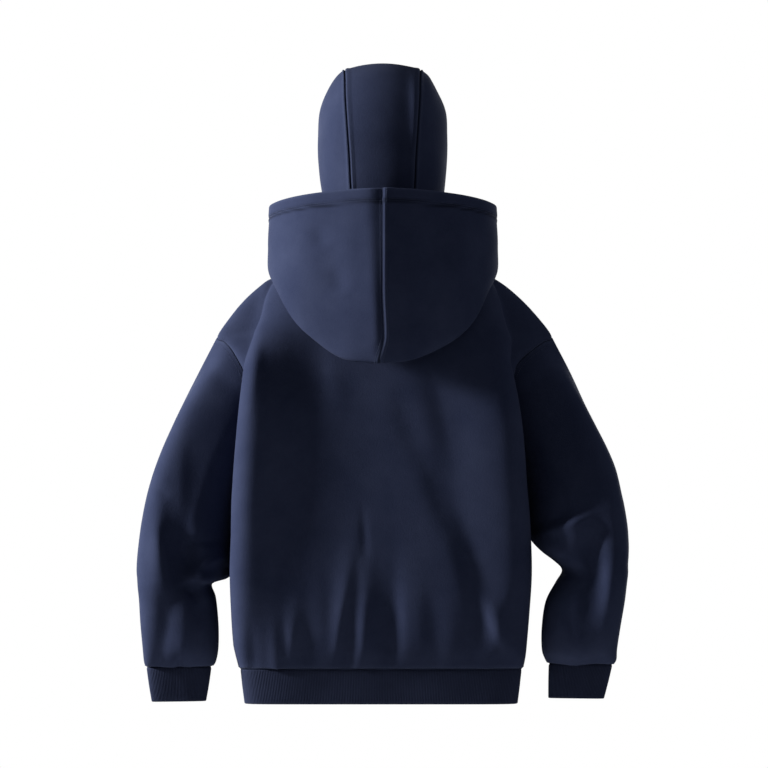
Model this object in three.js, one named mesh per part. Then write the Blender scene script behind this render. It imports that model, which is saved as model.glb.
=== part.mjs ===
// A pullover hoodie with two hoods, held in the hollow form of its wearer: a close inner hood that
// stands up round the head, and a wide outer hood that is thrown back and hangs behind the neck.
// Sizes are in millimetres. +Z is up, the chest faces -Y, and the origin is the middle of the neck
// opening at the height of the shoulder points. The wearer's left is at +X.
import * as THREE from "three";

// The cloth: brushed fleece for the panels, and a doubled rib knit for the hem band and the cuffs.
const FLEECE = 2.6;
const RIB_KNIT = 3.2;
const RIB_PITCH = 8;
const RIB_HEIGHT = 1.1;
// Half of the gap that is left between two pieces where a seam joins them.
const SEAM_GAP = 0.18;

// The share of a body row that is its rounded arc. The rest is the fold that tucks in to the seam.
const ARC_SHARE = 0.66;
// The exponents of the superellipses: 2 is an ellipse, and more is squarer. The body hangs flat across
// its back and chest, and is rounder over the shoulders. A sleeve is flat behind, rounder in front,
// and rounder there on its inner side, which lies by the body.
const BODY_ROUND = 8;
const SHOULDER_ROUND = 2.35;
const SLEEVE_BACK_ROUND = 5.5;
const SLEEVE_FRONT_ROUND = 3.2;
const SLEEVE_INNER_ROUND = 2.3;
// The rows of the body tables at which the outer edge changes from side seam to armhole to shoulder.
const UNDERARM_ROW = 6;
const SHOULDER_ROW = 14;
const NECK_ROW = 19;
// The rows between which the body turns from its flat form to its rounder one.
const FLAT_ROW = 9;
const ROUND_ROW = 16;

// A table is written as rows of numbers under named columns, and kept as one list for each column.
function table(names, rows) {
  const columns = names.split(" ");
  return Object.fromEntries(columns.map((name, i) => [name, rows.map((row) => row[i])]));
}

// One column read at a place between its rows, by a Catmull-Rom curve through them.
function readColumn(values, at) {
  const last = values.length - 1;
  const i = Math.min(Math.max(Math.floor(at), 0), last - 1);
  const t = at - i;
  const [b, c] = [values[i], values[i + 1]];
  const a = i > 0 ? values[i - 1] : 2 * b - c;
  const d = i + 2 <= last ? values[i + 2] : 2 * c - b;
  return b + 0.5 * t * (c - a + t * (2 * a - 5 * b + 4 * c - d + t * (3 * (b - c) + d - a)));
}

function readTable(columns, at) {
  return Object.fromEntries(
    Object.entries(columns).map(([name, values]) => [name, readColumn(values, at)]),
  );
}

// The body rows run from the middle of a panel to its outer edge, and from the hem to the neck.
// middle: on the centre line. fold: the widest point, where the cloth turns forward beside the arm.
// seam: on the outer edge, which is the side seam, then the armhole, then the shoulder seam.
const bodyColumns = "middleY middleZ foldX foldY foldZ seamX seamY seamZ";
const backRows = table(bodyColumns, [
  [92, -647, 219, 12, -647, 219, -2, -647],
  [104, -610, 224, 15, -610, 223, -2, -610],
  [110, -560, 228, 21, -560, 227, -3, -560],
  [113, -500, 231, 28, -500, 223, -6, -500],
  [115, -440, 229, 36, -440, 209, -12, -440],
  [117, -400, 227, 41, -397, 203, -14, -396],
  [118, -365, 224, 44, -363, 204, -14, -362],
  [119, -330, 221, 48, -327, 203, 8, -325],
  [120, -290, 217, 51, -287, 202, 22, -285],
  [120, -250, 212, 54, -247, 203, 31, -245],
  [119, -215, 207, 57, -212, 204, 36, -210],
  [117, -182, 202, 59, -182, 211, 37, -182],
  [113, -152, 197, 54, -156, 229, 33, -158],
  [108, -122, 193, 50, -136, 246, 27, -143],
  [101, -95, 189, 46, -122, 259, 16, -135],
  [94, -70, 184, 42, -100, 238, 15, -104],
  [86, -49, 178, 36, -72, 209, 13, -72],
  [79, -33, 163, 27, -45, 175, 7, -46],
  [72, -21, 117, 24, -21, 122, 4, -20],
  [66, -14, 73, 20, -2, 76, 5, 0],
]);
const frontRows = table(bodyColumns, [
  [-90, -647, 219, -16, -647, 219, -2, -647],
  [-104, -610, 224, -22, -610, 223, -2, -610],
  [-112, -560, 228, -32, -560, 227, -3, -560],
  [-117, -500, 228, -48, -500, 223, -6, -500],
  [-120, -440, 224, -62, -440, 209, -12, -440],
  [-121, -402, 221, -66, -397, 203, -14, -396],
  [-122, -370, 218, -68, -363, 204, -14, -362],
  [-122, -338, 215, -72, -327, 203, -40, -325],
  [-121, -305, 211, -77, -288, 202, -54, -285],
  [-119, -272, 207, -80, -249, 203, -63, -245],
  [-117, -243, 202, -82, -215, 205, -66, -210],
  [-114, -218, 198, -82, -186, 213, -62, -182],
  [-110, -194, 194, -78, -162, 231, -44, -158],
  [-106, -173, 190, -71, -142, 247, -16, -143],
  [-101, -154, 186, -62, -127, 259, 16, -135],
  [-95, -136, 180, -53, -104, 238, 15, -104],
  [-90, -121, 173, -44, -78, 209, 13, -72],
  [-85, -108, 157, -32, -56, 175, 7, -46],
  [-81, -96, 113, -22, -31, 122, 4, -20],
  [-76, -84, 72, -16, -8, 76, 5, 0],
]);

// The sleeve rings run from the armhole to the cuff seam. outer and inner: the ring's two ends in
// the photograph's view. back and front: how far it reaches behind and before. innerRound: how
// square it is behind on its inner side, where it tucks in beside the body. The drop in the inner
// column is the crease at the elbow.
const sleeveColumns = "outerX outerZ innerX innerZ back front innerY innerRound";
const sleeveRings = {
  left: table(sleeveColumns, [
    [259, -135, 204, -362, 36, -66, -15, 2.3],
    [285, -189, 212, -373, 40, -76, -18, 2.2],
    [312, -245, 216, -385, 45, -80, -18, 2],
    [339, -307, 217, -399, 51, -82, -17, 1.8],
    [359, -366, 219, -416, 58, -80, -15, 1.7],
    [371, -418, 222, -438, 66, -76, -13, 1.6],
    [377, -462, 226, -463, 74, -71, -10, 1.6],
    [379, -492, 231, -490, 80, -67, -6, 1.7],
    [378, -508, 237, -507, 83, -64, -2, 1.8],
    [377, -522, 263, -516, 84, -61, 10, 2.3],
    [375, -541, 257, -538, 84, -58, 13, 2.3],
    [373, -576, 253, -578, 80, -54, 13, 2.3],
    [370, -612, 253, -615, 68, -45, 12, 2.3],
    [368, -636, 257, -637, 52, -32, 10, 2.3],
    [365, -646, 263, -646, 40, -16, 12, 2.3],
  ]),
  right: table(sleeveColumns, [
    [259, -135, 204, -362, 36, -66, -15, 2.3],
    [290, -189, 208, -373, 50, -72, -16, 2],
    [317, -245, 209, -385, 66, -72, -15, 1.7],
    [345, -307, 210, -398, 82, -68, -14, 1.5],
    [366, -366, 214, -414, 96, -63, -12, 1.5],
    [377, -418, 221, -432, 105, -59, -8, 1.5],
    [380, -450, 230, -448, 108, -56, -2, 1.7],
    [380, -470, 247, -466, 109, -54, 14, 2.1],
    [379, -485, 266, -481, 109, -52, 24, 2.3],
    [379, -499, 278, -495, 109, -50, 28, 2.3],
    [377, -517, 268, -514, 108, -48, 29, 2.3],
    [374, -543, 253, -543, 104, -45, 28, 2.3],
    [368, -580, 247, -582, 94, -42, 25, 2.3],
    [363, -615, 247, -617, 80, -34, 22, 2.3],
    [362, -633, 252, -633, 63, -20, 20, 2.3],
    [357, -642, 257, -641, 46, -8, 19, 2.3],
  ]),
};
// The far end of each cuff, as its sleeve's last ring is written.
const cuffEnds = {
  left: { outerX: 356, outerZ: -699, innerX: 272, innerZ: -698, back: 33, front: 3 },
  right: { outerX: 343, outerZ: -694, innerX: 257, innerZ: -693, back: 38, front: 8 },
};
// How many ring steps it takes a sleeve to lose the bow of the armhole.
const ARMHOLE_REACH = 2.4;

// The hem band is the body's lowest row, drawn in by these shares at its two edges.
const HEM_DEPTH = 53;
const HEM_TOP_SHARE = 0.991;
const HEM_FOOT_SHARE = 0.962;

// The inner hood's side panel: each row runs from the face edge, round the side of the head, to the
// seam beside the crown strip. The first row is the neck seam, and the last is the brow.
const innerHoodRows = table("faceX faceY faceZ sideX sideY sideZ seamX seamY seamZ", [
  [3, -71, -79, 72, 4, 1, 42, 50, -8],
  [15, -82, -48, 77, 3, 32, 44, 64, 27],
  [34, -93, -2, 87, 1, 62, 46, 77, 62],
  [50, -100, 48, 96, 0, 96, 49, 88, 98],
  [62, -103, 98, 100, -2, 140, 51, 95, 140],
  [69, -103, 143, 100, -6, 178, 54, 97, 184],
  [73, -102, 178, 98, -12, 212, 57, 84, 230],
  [74, -102, 206, 86, -24, 242, 58, 54, 263],
  [71, -103, 216, 73, -48, 261, 59, 4, 279],
  [68, -105, 226, 65, -86, 258, 58, -70, 270],
  [65, -106, 234, 62, -106, 247, 56, -106, 257],
]);
// How far the crown strip arches between its seams, at the nape, the crown and the brow.
const crownArch = table("arch", [[9], [7], [8], [11], [10], [9]]);
// The angle at which the side panel meets the crown strip, where 90 degrees would be flush.
const CROWN_CORNER = 58;
const HEAD_MIDDLE = new THREE.Vector3(0, -10, 130);
// Where the inner hood's face edge and crown seam meet the neck seam, in degrees round from the nape,
// and how many rows it takes each piece to leave the seam's line.
const THROAT_TURN = 177;
const CROWN_TURN = 21;
const NECK_REACH = 1.8;

// The outer hood: each column runs from the neck seam down its hidden underside, round the foot of
// the bag, and up its outer face to the hemmed edge. turn: where it leaves the neck seam, in
// degrees round from the nape. The first column is the centre seam, and the last the throat.
const outerHoodColumns = table(
  "turn underX underY underZ footX footY footZ outX outY outZ edgeX edgeY edgeZ",
  [
    [0, 0, 124, -84, 0, 156, -177, 0, 190, -58, 0, 168, 92.5],
    [27, 52, 114, -80, 62, 138, -167, 66, 161, -54, 62, 146, 89],
    [52, 98, 92, -58, 129, 112, -122, 131, 126, -34, 124, 112, 82],
    [74, 126, 52, -19, 163, 74, -62, 169, 76, -8, 164, 62, 73],
    [92, 126, 8, -8, 172, 18, -36, 177, 20, 6, 174, 15, 63],
    [114, 106, -40, -28, 148, -54, -46, 158, -52, -8, 151, -44, 38],
    [138, 76, -84, -58, 100, -104, -68, 107, -104, -38, 100, -98, -2],
    [160, 40, -94, -80, 50, -112, -88, 52, -115, -70, 47, -110, -50],
    [176, 8, -88, -88, 10, -98, -94, 10, -103, -86, 9, -101, -74],
  ],
);

// The underside rolls over the neck seam: how high, and at what share of the way to its next point.
const ROLL_HEIGHT = 12;
const ROLL_SHARE = 0.35;

// The body's largest folds. x, z: the middle of the fold. run: half its length. left, right: how wide
// it is on either side. lean: how many degrees its top leans towards the left arm. lift: how far it
// stands up, or sinks in.
const foldColumns = "x z run left right lean lift";
const backFolds = table(foldColumns, [
  [203, -310, 380, 20, 24, -3, 8],
  [100, -340, 310, 50, 150, -5, -12.5],
  [-204, -360, 260, 26, 34, 3, 2],
  [-100, -265, 100, 26, 50, 14, -5],
  [-140, -460, 120, 22, 44, 18, -5],
  [62, -590, 90, 14, 14, -6, 4],
  [24, -590, 80, 13, 13, 0, 4],
  [-15, -590, 90, 14, 14, -2, -5],
  [-60, -590, 60, 20, 20, 4, 3],
  [134, -600, 60, 13, 13, -3, 4],
  [-152, -570, 90, 16, 20, 10, -4],
  [-184, -590, 70, 15, 15, 28, 6],
]);
const frontFolds = table(foldColumns, [
  [190, -330, 300, 26, 26, -3, 9],
  [110, -330, 230, 36, 36, -4, -9],
  [-190, -330, 300, 26, 26, 3, 9],
  [-104, -340, 230, 36, 36, 5, -9],
  [30, -560, 90, 16, 16, -6, 6],
  [-20, -590, 70, 14, 14, 5, -5],
  [-70, -585, 70, 16, 16, 10, 6],
  [90, -600, 60, 15, 15, -8, 6],
  [150, -600, 55, 15, 15, -16, 6],
  [-150, -590, 60, 15, 15, 16, 6],
]);
// The sleeves' folds, written the same way, but left is here the side away from the body. They gather
// at the crook of the elbow, and those of the back are repeated a little weaker on the hidden front.
const sleeveFolds = {
  left: table(foldColumns, [
    [305, -476, 46, 20, 22, 0, -14],
    [347, -470, 75, 14, 13, -2, 7],
    [248, -480, 26, 14, 14, 0, 6],
    [282, -504, 22, 10, 10, 60, 6],
    [288, -526, 18, 12, 12, 70, -6],
    [304, -612, 30, 20, 20, 0, 5],
    [336, -600, 45, 12, 12, -6, -4],
    [250, -190, 60, 16, 16, 52, -4],
  ]),
  right: table(foldColumns, [
    [320, -494, 70, 18, 26, 8, -14],
    [284, -426, 60, 30, 12, 69, 9],
    [352, -500, 70, 14, 12, 6, 4],
    [300, -608, 30, 22, 20, 0, 5],
    [250, -190, 60, 16, 16, 52, -4],
  ]),
};
const HIDDEN_SHARE = 0.6;

// The body doesn't hang quite straight. sway: how far a height is shifted towards the left arm.
const swayByHeight = table("z sway", [
  [-700, 1.5],
  [-450, 1],
  [-350, 4],
  [-180, 5],
  [-135, -4],
  [-60, -1.5],
  [300, -1],
]);

const radians = (degrees) => (degrees * Math.PI) / 180;
const mix = (a, b, t) => a + (b - a) * t;
const steps = (from, to, count) =>
  Array.from({ length: count + 1 }, (_, i) => mix(from, to, i / count));

function swayAt(z) {
  const { z: heights, sway } = swayByHeight;
  const above = heights.findIndex((height) => height >= z);
  const i = Math.min(Math.max(above, 1), heights.length - 1);
  const share = THREE.MathUtils.smoothstep(z, heights[i - 1], heights[i]);
  return mix(sway[i - 1], sway[i], share);
}

// A point worked out for the left half, put on its side of the garment and swayed.
function placed(point, side) {
  const x = side === "left" ? point.x : -point.x;
  return new THREE.Vector3(x + swayAt(point.z), point.y, point.z);
}

// A superellipse of radius 1, by the angle from its first axis: how far along each of its axes.
function squareArc(angle, round) {
  const [c, s] = [Math.cos(angle), Math.sin(angle)];
  const reach = (Math.abs(c) ** round + Math.abs(s) ** round) ** (-1 / round);
  return [c * reach, s * reach];
}

// A body row's outer edge. Along the side seam and the shoulder seam it is the same line for the
// back and the front, and between them each has its own half of the armhole.
function bodyEdge(rows, row) {
  const shared = row <= UNDERARM_ROW || row >= SHOULDER_ROW;
  const [a, b] = shared ? [backRows, frontRows] : [rows, rows];
  const read = (name) => mix(readColumn(a[name], row), readColumn(b[name], row), 0.5);
  return new THREE.Vector3(read("seamX"), read("seamY"), read("seamZ"));
}

// A point of a body panel. row: its place between the hem and the neck. out: 0 on the centre line
// and 1 on the outer edge. The arc is a quarter of a superellipse from the middle to the fold, and
// the rest is a cubic Bezier curve that leaves the fold and reaches the seam pointing forward.
function bodyPoint(rows, row, out) {
  const r = readTable(rows, row);
  if (out <= ARC_SHARE) {
    const angle = ((out / ARC_SHARE) * Math.PI) / 2;
    const flat = THREE.MathUtils.smoothstep(row, FLAT_ROW, ROUND_ROW);
    const [deep, wide] = squareArc(angle, mix(BODY_ROUND, SHOULDER_ROUND, flat));
    return new THREE.Vector3(
      r.foldX * wide,
      mix(r.foldY, r.middleY, deep),
      mix(r.foldZ, r.middleZ, Math.cos(angle) ** 2),
    );
  }
  const t = (out - ARC_SHARE) / (1 - ARC_SHARE);
  const edge = bodyEdge(rows, row);
  const depth = r.foldY - edge.y;
  const curve = new THREE.CubicBezierCurve3(
    new THREE.Vector3(r.foldX, r.foldY, r.foldZ),
    new THREE.Vector3(r.foldX, r.foldY - 0.25 * depth, mix(r.foldZ, edge.z, 0.2)),
    new THREE.Vector3(edge.x, edge.y + 0.75 * depth, mix(r.foldZ, edge.z, 0.6)),
    edge,
  );
  return curve.getPoint(t);
}

// How far the folds lift the cloth at a place: each is a long soft mound, a Gaussian of the
// distance across it and of the distance along it.
function foldLift(folds, x, z) {
  return folds.x.reduce((sum, foldX, i) => {
    const lean = radians(folds.lean[i]);
    const [dx, dz] = [x - foldX, z - folds.z[i]];
    const aside = dx * Math.cos(lean) - dz * Math.sin(lean);
    const across = aside / (aside > 0 ? folds.left[i] : folds.right[i]);
    const along = (dx * Math.sin(lean) + dz * Math.cos(lean)) / folds.run[i];
    return sum + folds.lift[i] * Math.exp(-across * across - along * along);
  }, 0);
}

// A grid of cloth is a list of rows of points, with an outward normal at each. A ring's rows close.
function clothGrid(rowPlaces, columnPlaces, pointAt, ring = false) {
  const points = rowPlaces.map((row) => columnPlaces.map((column) => pointAt(row, column)));
  return { points, ring, normals: normalsOf(points, ring) };
}

// Each normal is the cross product of the steps across its neighbours along and up the grid.
function normalsOf(points, ring) {
  const [rows, columns] = [points.length, points[0].length];
  return points.map((line, i) =>
    line.map((_, j) => {
      const before = ring ? (j + columns - 1) % columns : Math.max(j - 1, 0);
      const after = ring ? (j + 1) % columns : Math.min(j + 1, columns - 1);
      const along = line[after].clone().sub(line[before]);
      const up = points[Math.min(i + 1, rows - 1)][j].clone().sub(points[Math.max(i - 1, 0)][j]);
      return along.cross(up).normalize();
    }),
  );
}

// The points and normals along one edge of a grid, in order.
function edgeOf(grid, edge) {
  const last = grid.points.length - 1;
  const places = {
    foot: grid.points[0].map((_, j) => [0, j]),
    top: grid.points[0].map((_, j) => [last, j]),
    start: grid.points.map((_, i) => [i, 0]),
    end: grid.points.map((line, i) => [i, line.length - 1]),
  };
  return places[edge];
}

// Gives the two sides of a seam one shared normal at each of its places, so that the walls meet
// along a plane and don't cross. Each side is a list of [grid, [row, column]].
function mitre(sideA, sideB) {
  sideA.forEach(([gridA, [ia, ja]], k) => {
    const [gridB, [ib, jb]] = sideB[k];
    const shared = gridA.normals[ia][ja].clone().add(gridB.normals[ib][jb]).normalize();
    gridA.normals[ia][ja] = shared;
    gridB.normals[ib][jb] = shared.clone();
  });
}

// Draws an edge back from its seam by half of the gap, towards the next points of the grid.
function drawBack(grid, edge, by = SEAM_GAP) {
  const inward = { foot: [1, 0], top: [-1, 0], start: [0, 1], end: [0, -1] }[edge];
  const moved = edgeOf(grid, edge).map(([i, j]) => {
    const here = grid.points[i][j];
    const step = grid.points[i + inward[0]][j + inward[1]].clone().sub(here);
    return here.clone().addScaledVector(step.normalize(), by);
  });
  edgeOf(grid, edge).forEach(([i, j], k) => (grid.points[i][j] = moved[k]));
}

function raise(grid, liftAt) {
  grid.points.forEach((line, i) =>
    line.forEach((point, j) => point.addScaledVector(grid.normals[i][j], liftAt(point, i, j))),
  );
  grid.normals = normalsOf(grid.points, grid.ring);
}

// A closed wall: the grid as its outer face, the same grid moved in by the thickness as its inner
// face, and strips that join the two along every open edge.
function wallGeometry(grid, thickness) {
  const [rows, columns] = [grid.points.length, grid.points[0].length];
  const outer = (i, j) => i * columns + (j % columns);
  const inner = (i, j) => rows * columns + outer(i, j);
  const inside = grid.points.map((line, i) =>
    line.map((point, j) => point.clone().addScaledVector(grid.normals[i][j], -thickness)),
  );
  const positions = [...grid.points.flat(), ...inside.flat()].flatMap((p) => p.toArray());
  const faces = [];
  const quad = (a, b, c, d) => faces.push(a, b, c, a, c, d);
  const across = grid.ring ? columns : columns - 1;
  for (let i = 0; i < rows - 1; i++) {
    for (let j = 0; j < across; j++) {
      quad(outer(i, j), outer(i, j + 1), outer(i + 1, j + 1), outer(i + 1, j));
      quad(inner(i, j), inner(i + 1, j), inner(i + 1, j + 1), inner(i, j + 1));
    }
    if (!grid.ring) {
      const end = columns - 1;
      quad(outer(i, 0), outer(i + 1, 0), inner(i + 1, 0), inner(i, 0));
      quad(outer(i, end), inner(i, end), inner(i + 1, end), outer(i + 1, end));
    }
  }
  for (let j = 0; j < across; j++) {
    quad(outer(0, j), inner(0, j), inner(0, j + 1), outer(0, j + 1));
    quad(outer(rows - 1, j), outer(rows - 1, j + 1), inner(rows - 1, j + 1), inner(rows - 1, j));
  }
  const geometry = new THREE.BufferGeometry();
  geometry.setAttribute("position", new THREE.Float32BufferAttribute(positions, 3));
  geometry.setIndex(faces);
  geometry.computeVertexNormals();
  return geometry;
}

// Points spaced evenly along a closed line, as many as asked.
function evenRing(line, count) {
  const path = new THREE.CurvePath();
  line.forEach((point, i) => path.add(new THREE.LineCurve3(point, line[(i + 1) % line.length])));
  return Array.from({ length: count }, (_, i) => path.getPointAt(i / count));
}

// A band of rib knit between two closed lines: its outer face has a ridge and a groove for each
// rib, and its inner face is plain, with one step for every few ribs.
function ribbedBand(topLine, footLine) {
  const length = new THREE.CurvePath();
  topLine.forEach((p, i) => length.add(new THREE.LineCurve3(p, topLine[(i + 1) % topLine.length])));
  const plain = 4 * Math.round(length.getLength() / RIB_PITCH / 12);
  const ribs = plain * 3;
  const rings = [footLine, topLine].map((line) => {
    const outer = evenRing(line, 2 * ribs);
    const bare = evenRing(line, plain);
    const middle = bare.reduce((sum, p) => sum.add(p), new THREE.Vector3()).divideScalar(plain);
    const shrink = (point, by) => {
      const away = point.clone().sub(middle).setZ(0).normalize();
      return point.clone().addScaledVector(away, -by);
    };
    return {
      outer: outer.map((p, i) => (i % 2 ? shrink(p, RIB_HEIGHT) : p)),
      inner: bare.map((p) => shrink(p, RIB_KNIT)),
    };
  });
  const [foot, top] = rings;
  const lines = [foot.outer, top.outer, foot.inner, top.inner];
  const starts = lines.map((_, k) => lines.slice(0, k).reduce((sum, l) => sum + l.length, 0));
  const faces = [];
  const at = (k, i) => starts[k] + (i % lines[k].length);
  const quads = (k, l, count, turned) => {
    for (let i = 0; i < count; i++) {
      const [a, b, c, d] = [at(k, i), at(k, i + 1), at(l, i + 1), at(l, i)];
      faces.push(...(turned ? [a, c, b, a, d, c] : [a, b, c, a, c, d]));
    }
  };
  quads(0, 1, 2 * ribs, false);
  quads(2, 3, plain, true);
  // An edge strip: each plain step of the inner line takes the outer points that lie beside it.
  const share = (2 * ribs) / plain;
  const strip = (outerLine, innerLine, turned) => {
    const face = (a, b, c) => faces.push(...(turned ? [a, c, b] : [a, b, c]));
    for (let i = 0; i < plain; i++) {
      for (let k = 0; k < share; k++) {
        const near = k < share / 2 ? i : i + 1;
        const from = i * share + k;
        face(at(outerLine, from), at(innerLine, near), at(outerLine, from + 1));
      }
      face(at(innerLine, i), at(innerLine, i + 1), at(outerLine, i * share + share / 2));
    }
  };
  strip(0, 2, false);
  strip(1, 3, true);
  const geometry = new THREE.BufferGeometry();
  const positions = lines.flat().flatMap((p) => p.toArray());
  geometry.setAttribute("position", new THREE.Float32BufferAttribute(positions, 3));
  geometry.setIndex(faces);
  geometry.computeVertexNormals();
  return geometry;
}

// The neck seam, by the angle round from the nape: the top rows of the back and the front.
function neckPoint(turn) {
  const rows = turn <= 90 ? backRows : frontRows;
  const out = (turn <= 90 ? turn : 180 - turn) / 90;
  return bodyPoint(rows, NECK_ROW, out);
}

// The places at which the body's rows are taken. The armhole's are shared with the sleeve.
const ARMHOLE_STEPS = 12;
const bodyRowPlaces = [
  ...steps(0, UNDERARM_ROW, 8).slice(0, -1),
  ...steps(UNDERARM_ROW, SHOULDER_ROW, ARMHOLE_STEPS).slice(0, -1),
  ...steps(SHOULDER_ROW, NECK_ROW, 5),
];
const bodyColumnPlaces = [...steps(0, ARC_SHARE, 12).slice(0, -1), ...steps(ARC_SHARE, 1, 4)];
// How far from the fold beside the arm, and from the neck, the body's folds reach their full height.
const FOLD_FREE_SHARE = 0.14;
const FOLD_FREE_ROWS = 4;

// A body panel runs from edge to edge across the centre line. sense is 1 on the back and -1 on the
// front, where the columns run the other way, so that the normals always point out of the garment.
function bodyPanel(rows, folds, sense) {
  const places = [...bodyColumnPlaces.slice(1).reverse().map((p) => -p), ...bodyColumnPlaces];
  const pointAt = (row, out) => {
    const side = out * sense < 0 ? "left" : "right";
    return placed(bodyPoint(rows, row, Math.abs(out)), side);
  };
  const grid = clothGrid(bodyRowPlaces, places, pointAt);
  raise(grid, (p, i, j) => {
    const fromFold = (ARC_SHARE - Math.abs(places[j])) / FOLD_FREE_SHARE;
    const fromNeck = (NECK_ROW - bodyRowPlaces[i]) / FOLD_FREE_ROWS;
    const fromHem = bodyRowPlaces[i];
    const free = THREE.MathUtils.clamp(Math.min(fromFold, fromNeck, fromHem), 0, 1);
    return foldLift(folds, p.x, p.z) * free;
  });
  return grid;
}

const back = bodyPanel(backRows, backFolds, 1);
const front = bodyPanel(frontRows, frontFolds, -1);

// A sleeve ring is a superellipse between its outer and inner ends, and between its back and its
// front. turn is 0 at the outer end, a quarter turn at the back, and half a turn at the inner end.
function ringPoint(ring, turn) {
  const [inner, behind] = [Math.cos(turn) < 0, Math.sin(turn) > 0];
  const outerRound = behind ? SLEEVE_BACK_ROUND : SLEEVE_FRONT_ROUND;
  const innerRound = behind ? ring.innerRound : SLEEVE_INNER_ROUND;
  const [c, s] = squareArc(turn, inner ? innerRound : outerRound);
  const outwards = (1 + c) / 2;
  const middleY = mix(ring.innerY, (ring.back + ring.front) / 2, outwards);
  return new THREE.Vector3(
    mix(ring.innerX, ring.outerX, outwards),
    mix(middleY, behind ? ring.back : ring.front, Math.abs(s)),
    mix(ring.innerZ, ring.outerZ, outwards),
  );
}

// A point of a sleeve or cuff ring, on its side of the garment.
function sidePoint(ring, turn, side) {
  const point = ringPoint(ring, turn);
  return side === "left" ? point : point.setX(-point.x);
}

// The armhole, by the same turn: half of it is the back's outer edge and half the front's.
function armholePoint(turn, side) {
  const share = turn <= Math.PI ? turn / Math.PI : 2 - turn / Math.PI;
  const row = mix(SHOULDER_ROW, UNDERARM_ROW, share);
  return placed(bodyPoint(turn <= Math.PI ? backRows : frontRows, row, 1), side);
}

function sleevePoint(side, place, turn) {
  const rings = sleeveRings[side];
  const point = sidePoint(readTable(rings, place), turn, side);
  const hold = Math.max(1 - place / ARMHOLE_REACH, 0) ** 2;
  const bow = armholePoint(turn, side).sub(sidePoint(readTable(rings, 0), turn, side));
  return point.addScaledVector(bow, hold);
}

const sleeveTurns = steps(0, 2 * Math.PI, 2 * ARMHOLE_STEPS).slice(0, -1);

function sleeveGrid(side) {
  const rings = sleeveRings[side];
  const last = rings.back.length - 1;
  const places = [...steps(0, 2, 4).slice(0, -1), ...steps(2, last, last)];
  // The rows are listed from the cuff up, and the columns so that the normals point out.
  const turns = side === "left" ? sleeveTurns : [...sleeveTurns].reverse();
  const rows = [...places].reverse();
  const grid = clothGrid(rows, turns, (place, turn) => sleevePoint(side, place, turn), true);
  raise(grid, (p, i, j) => {
    const facing = Math.sin(turns[j]);
    const share = Math.sqrt(Math.abs(facing)) * (facing < 0 ? HIDDEN_SHARE : 1);
    const free = THREE.MathUtils.clamp(Math.min(rows[i], last - rows[i]), 0, 1);
    return foldLift(sleeveFolds[side], Math.abs(p.x), p.z) * share * free;
  });
  return grid;
}

function cuffGeometry(side) {
  const rings = sleeveRings[side];
  const [top, end] = [readTable(rings, rings.back.length - 1), cuffEnds[side]];
  const turns = side === "left" ? sleeveTurns : [...sleeveTurns].reverse();
  const topLine = turns.map((turn) => sidePoint(top, turn, side));
  topLine.forEach((point) => point.setZ(point.z - 2 * SEAM_GAP));
  return ribbedBand(
    topLine,
    turns.map((turn) => sidePoint({ ...top, ...end, innerY: (end.back + end.front) / 2 }, turn, side)),
  );
}

// The hem band's edges: the body's lowest row all round, drawn in by a share.
function hemLine(share, z) {
  const backHalf = back.points[0].map((p) => p.clone());
  const frontHalf = front.points[0].map((p) => p.clone()).slice(1, -1);
  return [...backHalf, ...frontHalf].map((p) => new THREE.Vector3(p.x * share, p.y * share, z));
}

// The inner hood's side panel at a row and a share from the face edge to the crown seam: two arcs
// that meet at the side point, where both run along the head.
function sideOfHead(row, share) {
  const r = readTable(innerHoodRows, row);
  const face = new THREE.Vector3(r.faceX, r.faceY, r.faceZ);
  const side = new THREE.Vector3(r.sideX, r.sideY, r.sideZ);
  const seam = new THREE.Vector3(r.seamX, r.seamY, r.seamZ);
  const end = share < 0.5 ? face : seam;
  const corner = radians(share < 0.5 ? 75 : CROWN_CORNER);
  const angle = corner * Math.abs(share - 0.5) * 2;
  const run = Math.sin(angle) / Math.sin(corner);
  const drop = (1 - Math.cos(angle)) / (1 - Math.cos(corner));
  return new THREE.Vector3(
    mix(side.x, end.x, drop),
    mix(side.y, end.y, run),
    mix(side.z, end.z, run),
  );
}

const hoodLast = innerHoodRows.faceX.length - 1;
const hoodRowPlaces = steps(0, hoodLast, 14);

// The crown strip: it spans the two crown seams, and arches away from the middle of the head.
function crownOfHead(row, across) {
  const seam = sideOfHead(row, 1);
  const away = seam.clone().setX(0).sub(HEAD_MIDDLE).normalize();
  const place = (row / hoodLast) * (crownArch.arch.length - 1);
  const arch = readColumn(crownArch.arch, place) * (1 - across * across);
  return new THREE.Vector3(seam.x * across, seam.y, seam.z).addScaledVector(away, arch);
}

// Brings the lowest rows of an inner hood piece to the neck seam, just inside the outer hood. turn:
// where the point's column meets the seam.
function heldAtNeck(pointAt, row, share, turn) {
  const seam = neckPoint(Math.abs(turn));
  const inward = new THREE.Vector3(seam.x, seam.y, 0).setLength(FLEECE + 7 * SEAM_GAP);
  seam.sub(inward).setZ(seam.z + 2 * SEAM_GAP);
  seam.setX(turn < 0 ? -seam.x : seam.x);
  const hold = Math.max(1 - row / NECK_REACH, 0) ** 2;
  return pointAt(row, share).addScaledVector(seam.sub(pointAt(0, share)), hold);
}

function innerHoodPoint(row, share) {
  const far = share < 0.5 ? THROAT_TURN : CROWN_TURN;
  return heldAtNeck(sideOfHead, row, share, mix(90, far, Math.abs(share - 0.5) * 2));
}

function crownPoint(row, across) {
  return heldAtNeck(crownOfHead, row, across, CROWN_TURN * across);
}

function hoodSide(side) {
  const shares = steps(0, 1, 10);
  const columns = side === "left" ? shares : [...shares].reverse();
  return clothGrid(hoodRowPlaces, columns, (row, share) => placed(innerHoodPoint(row, share), side));
}

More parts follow.
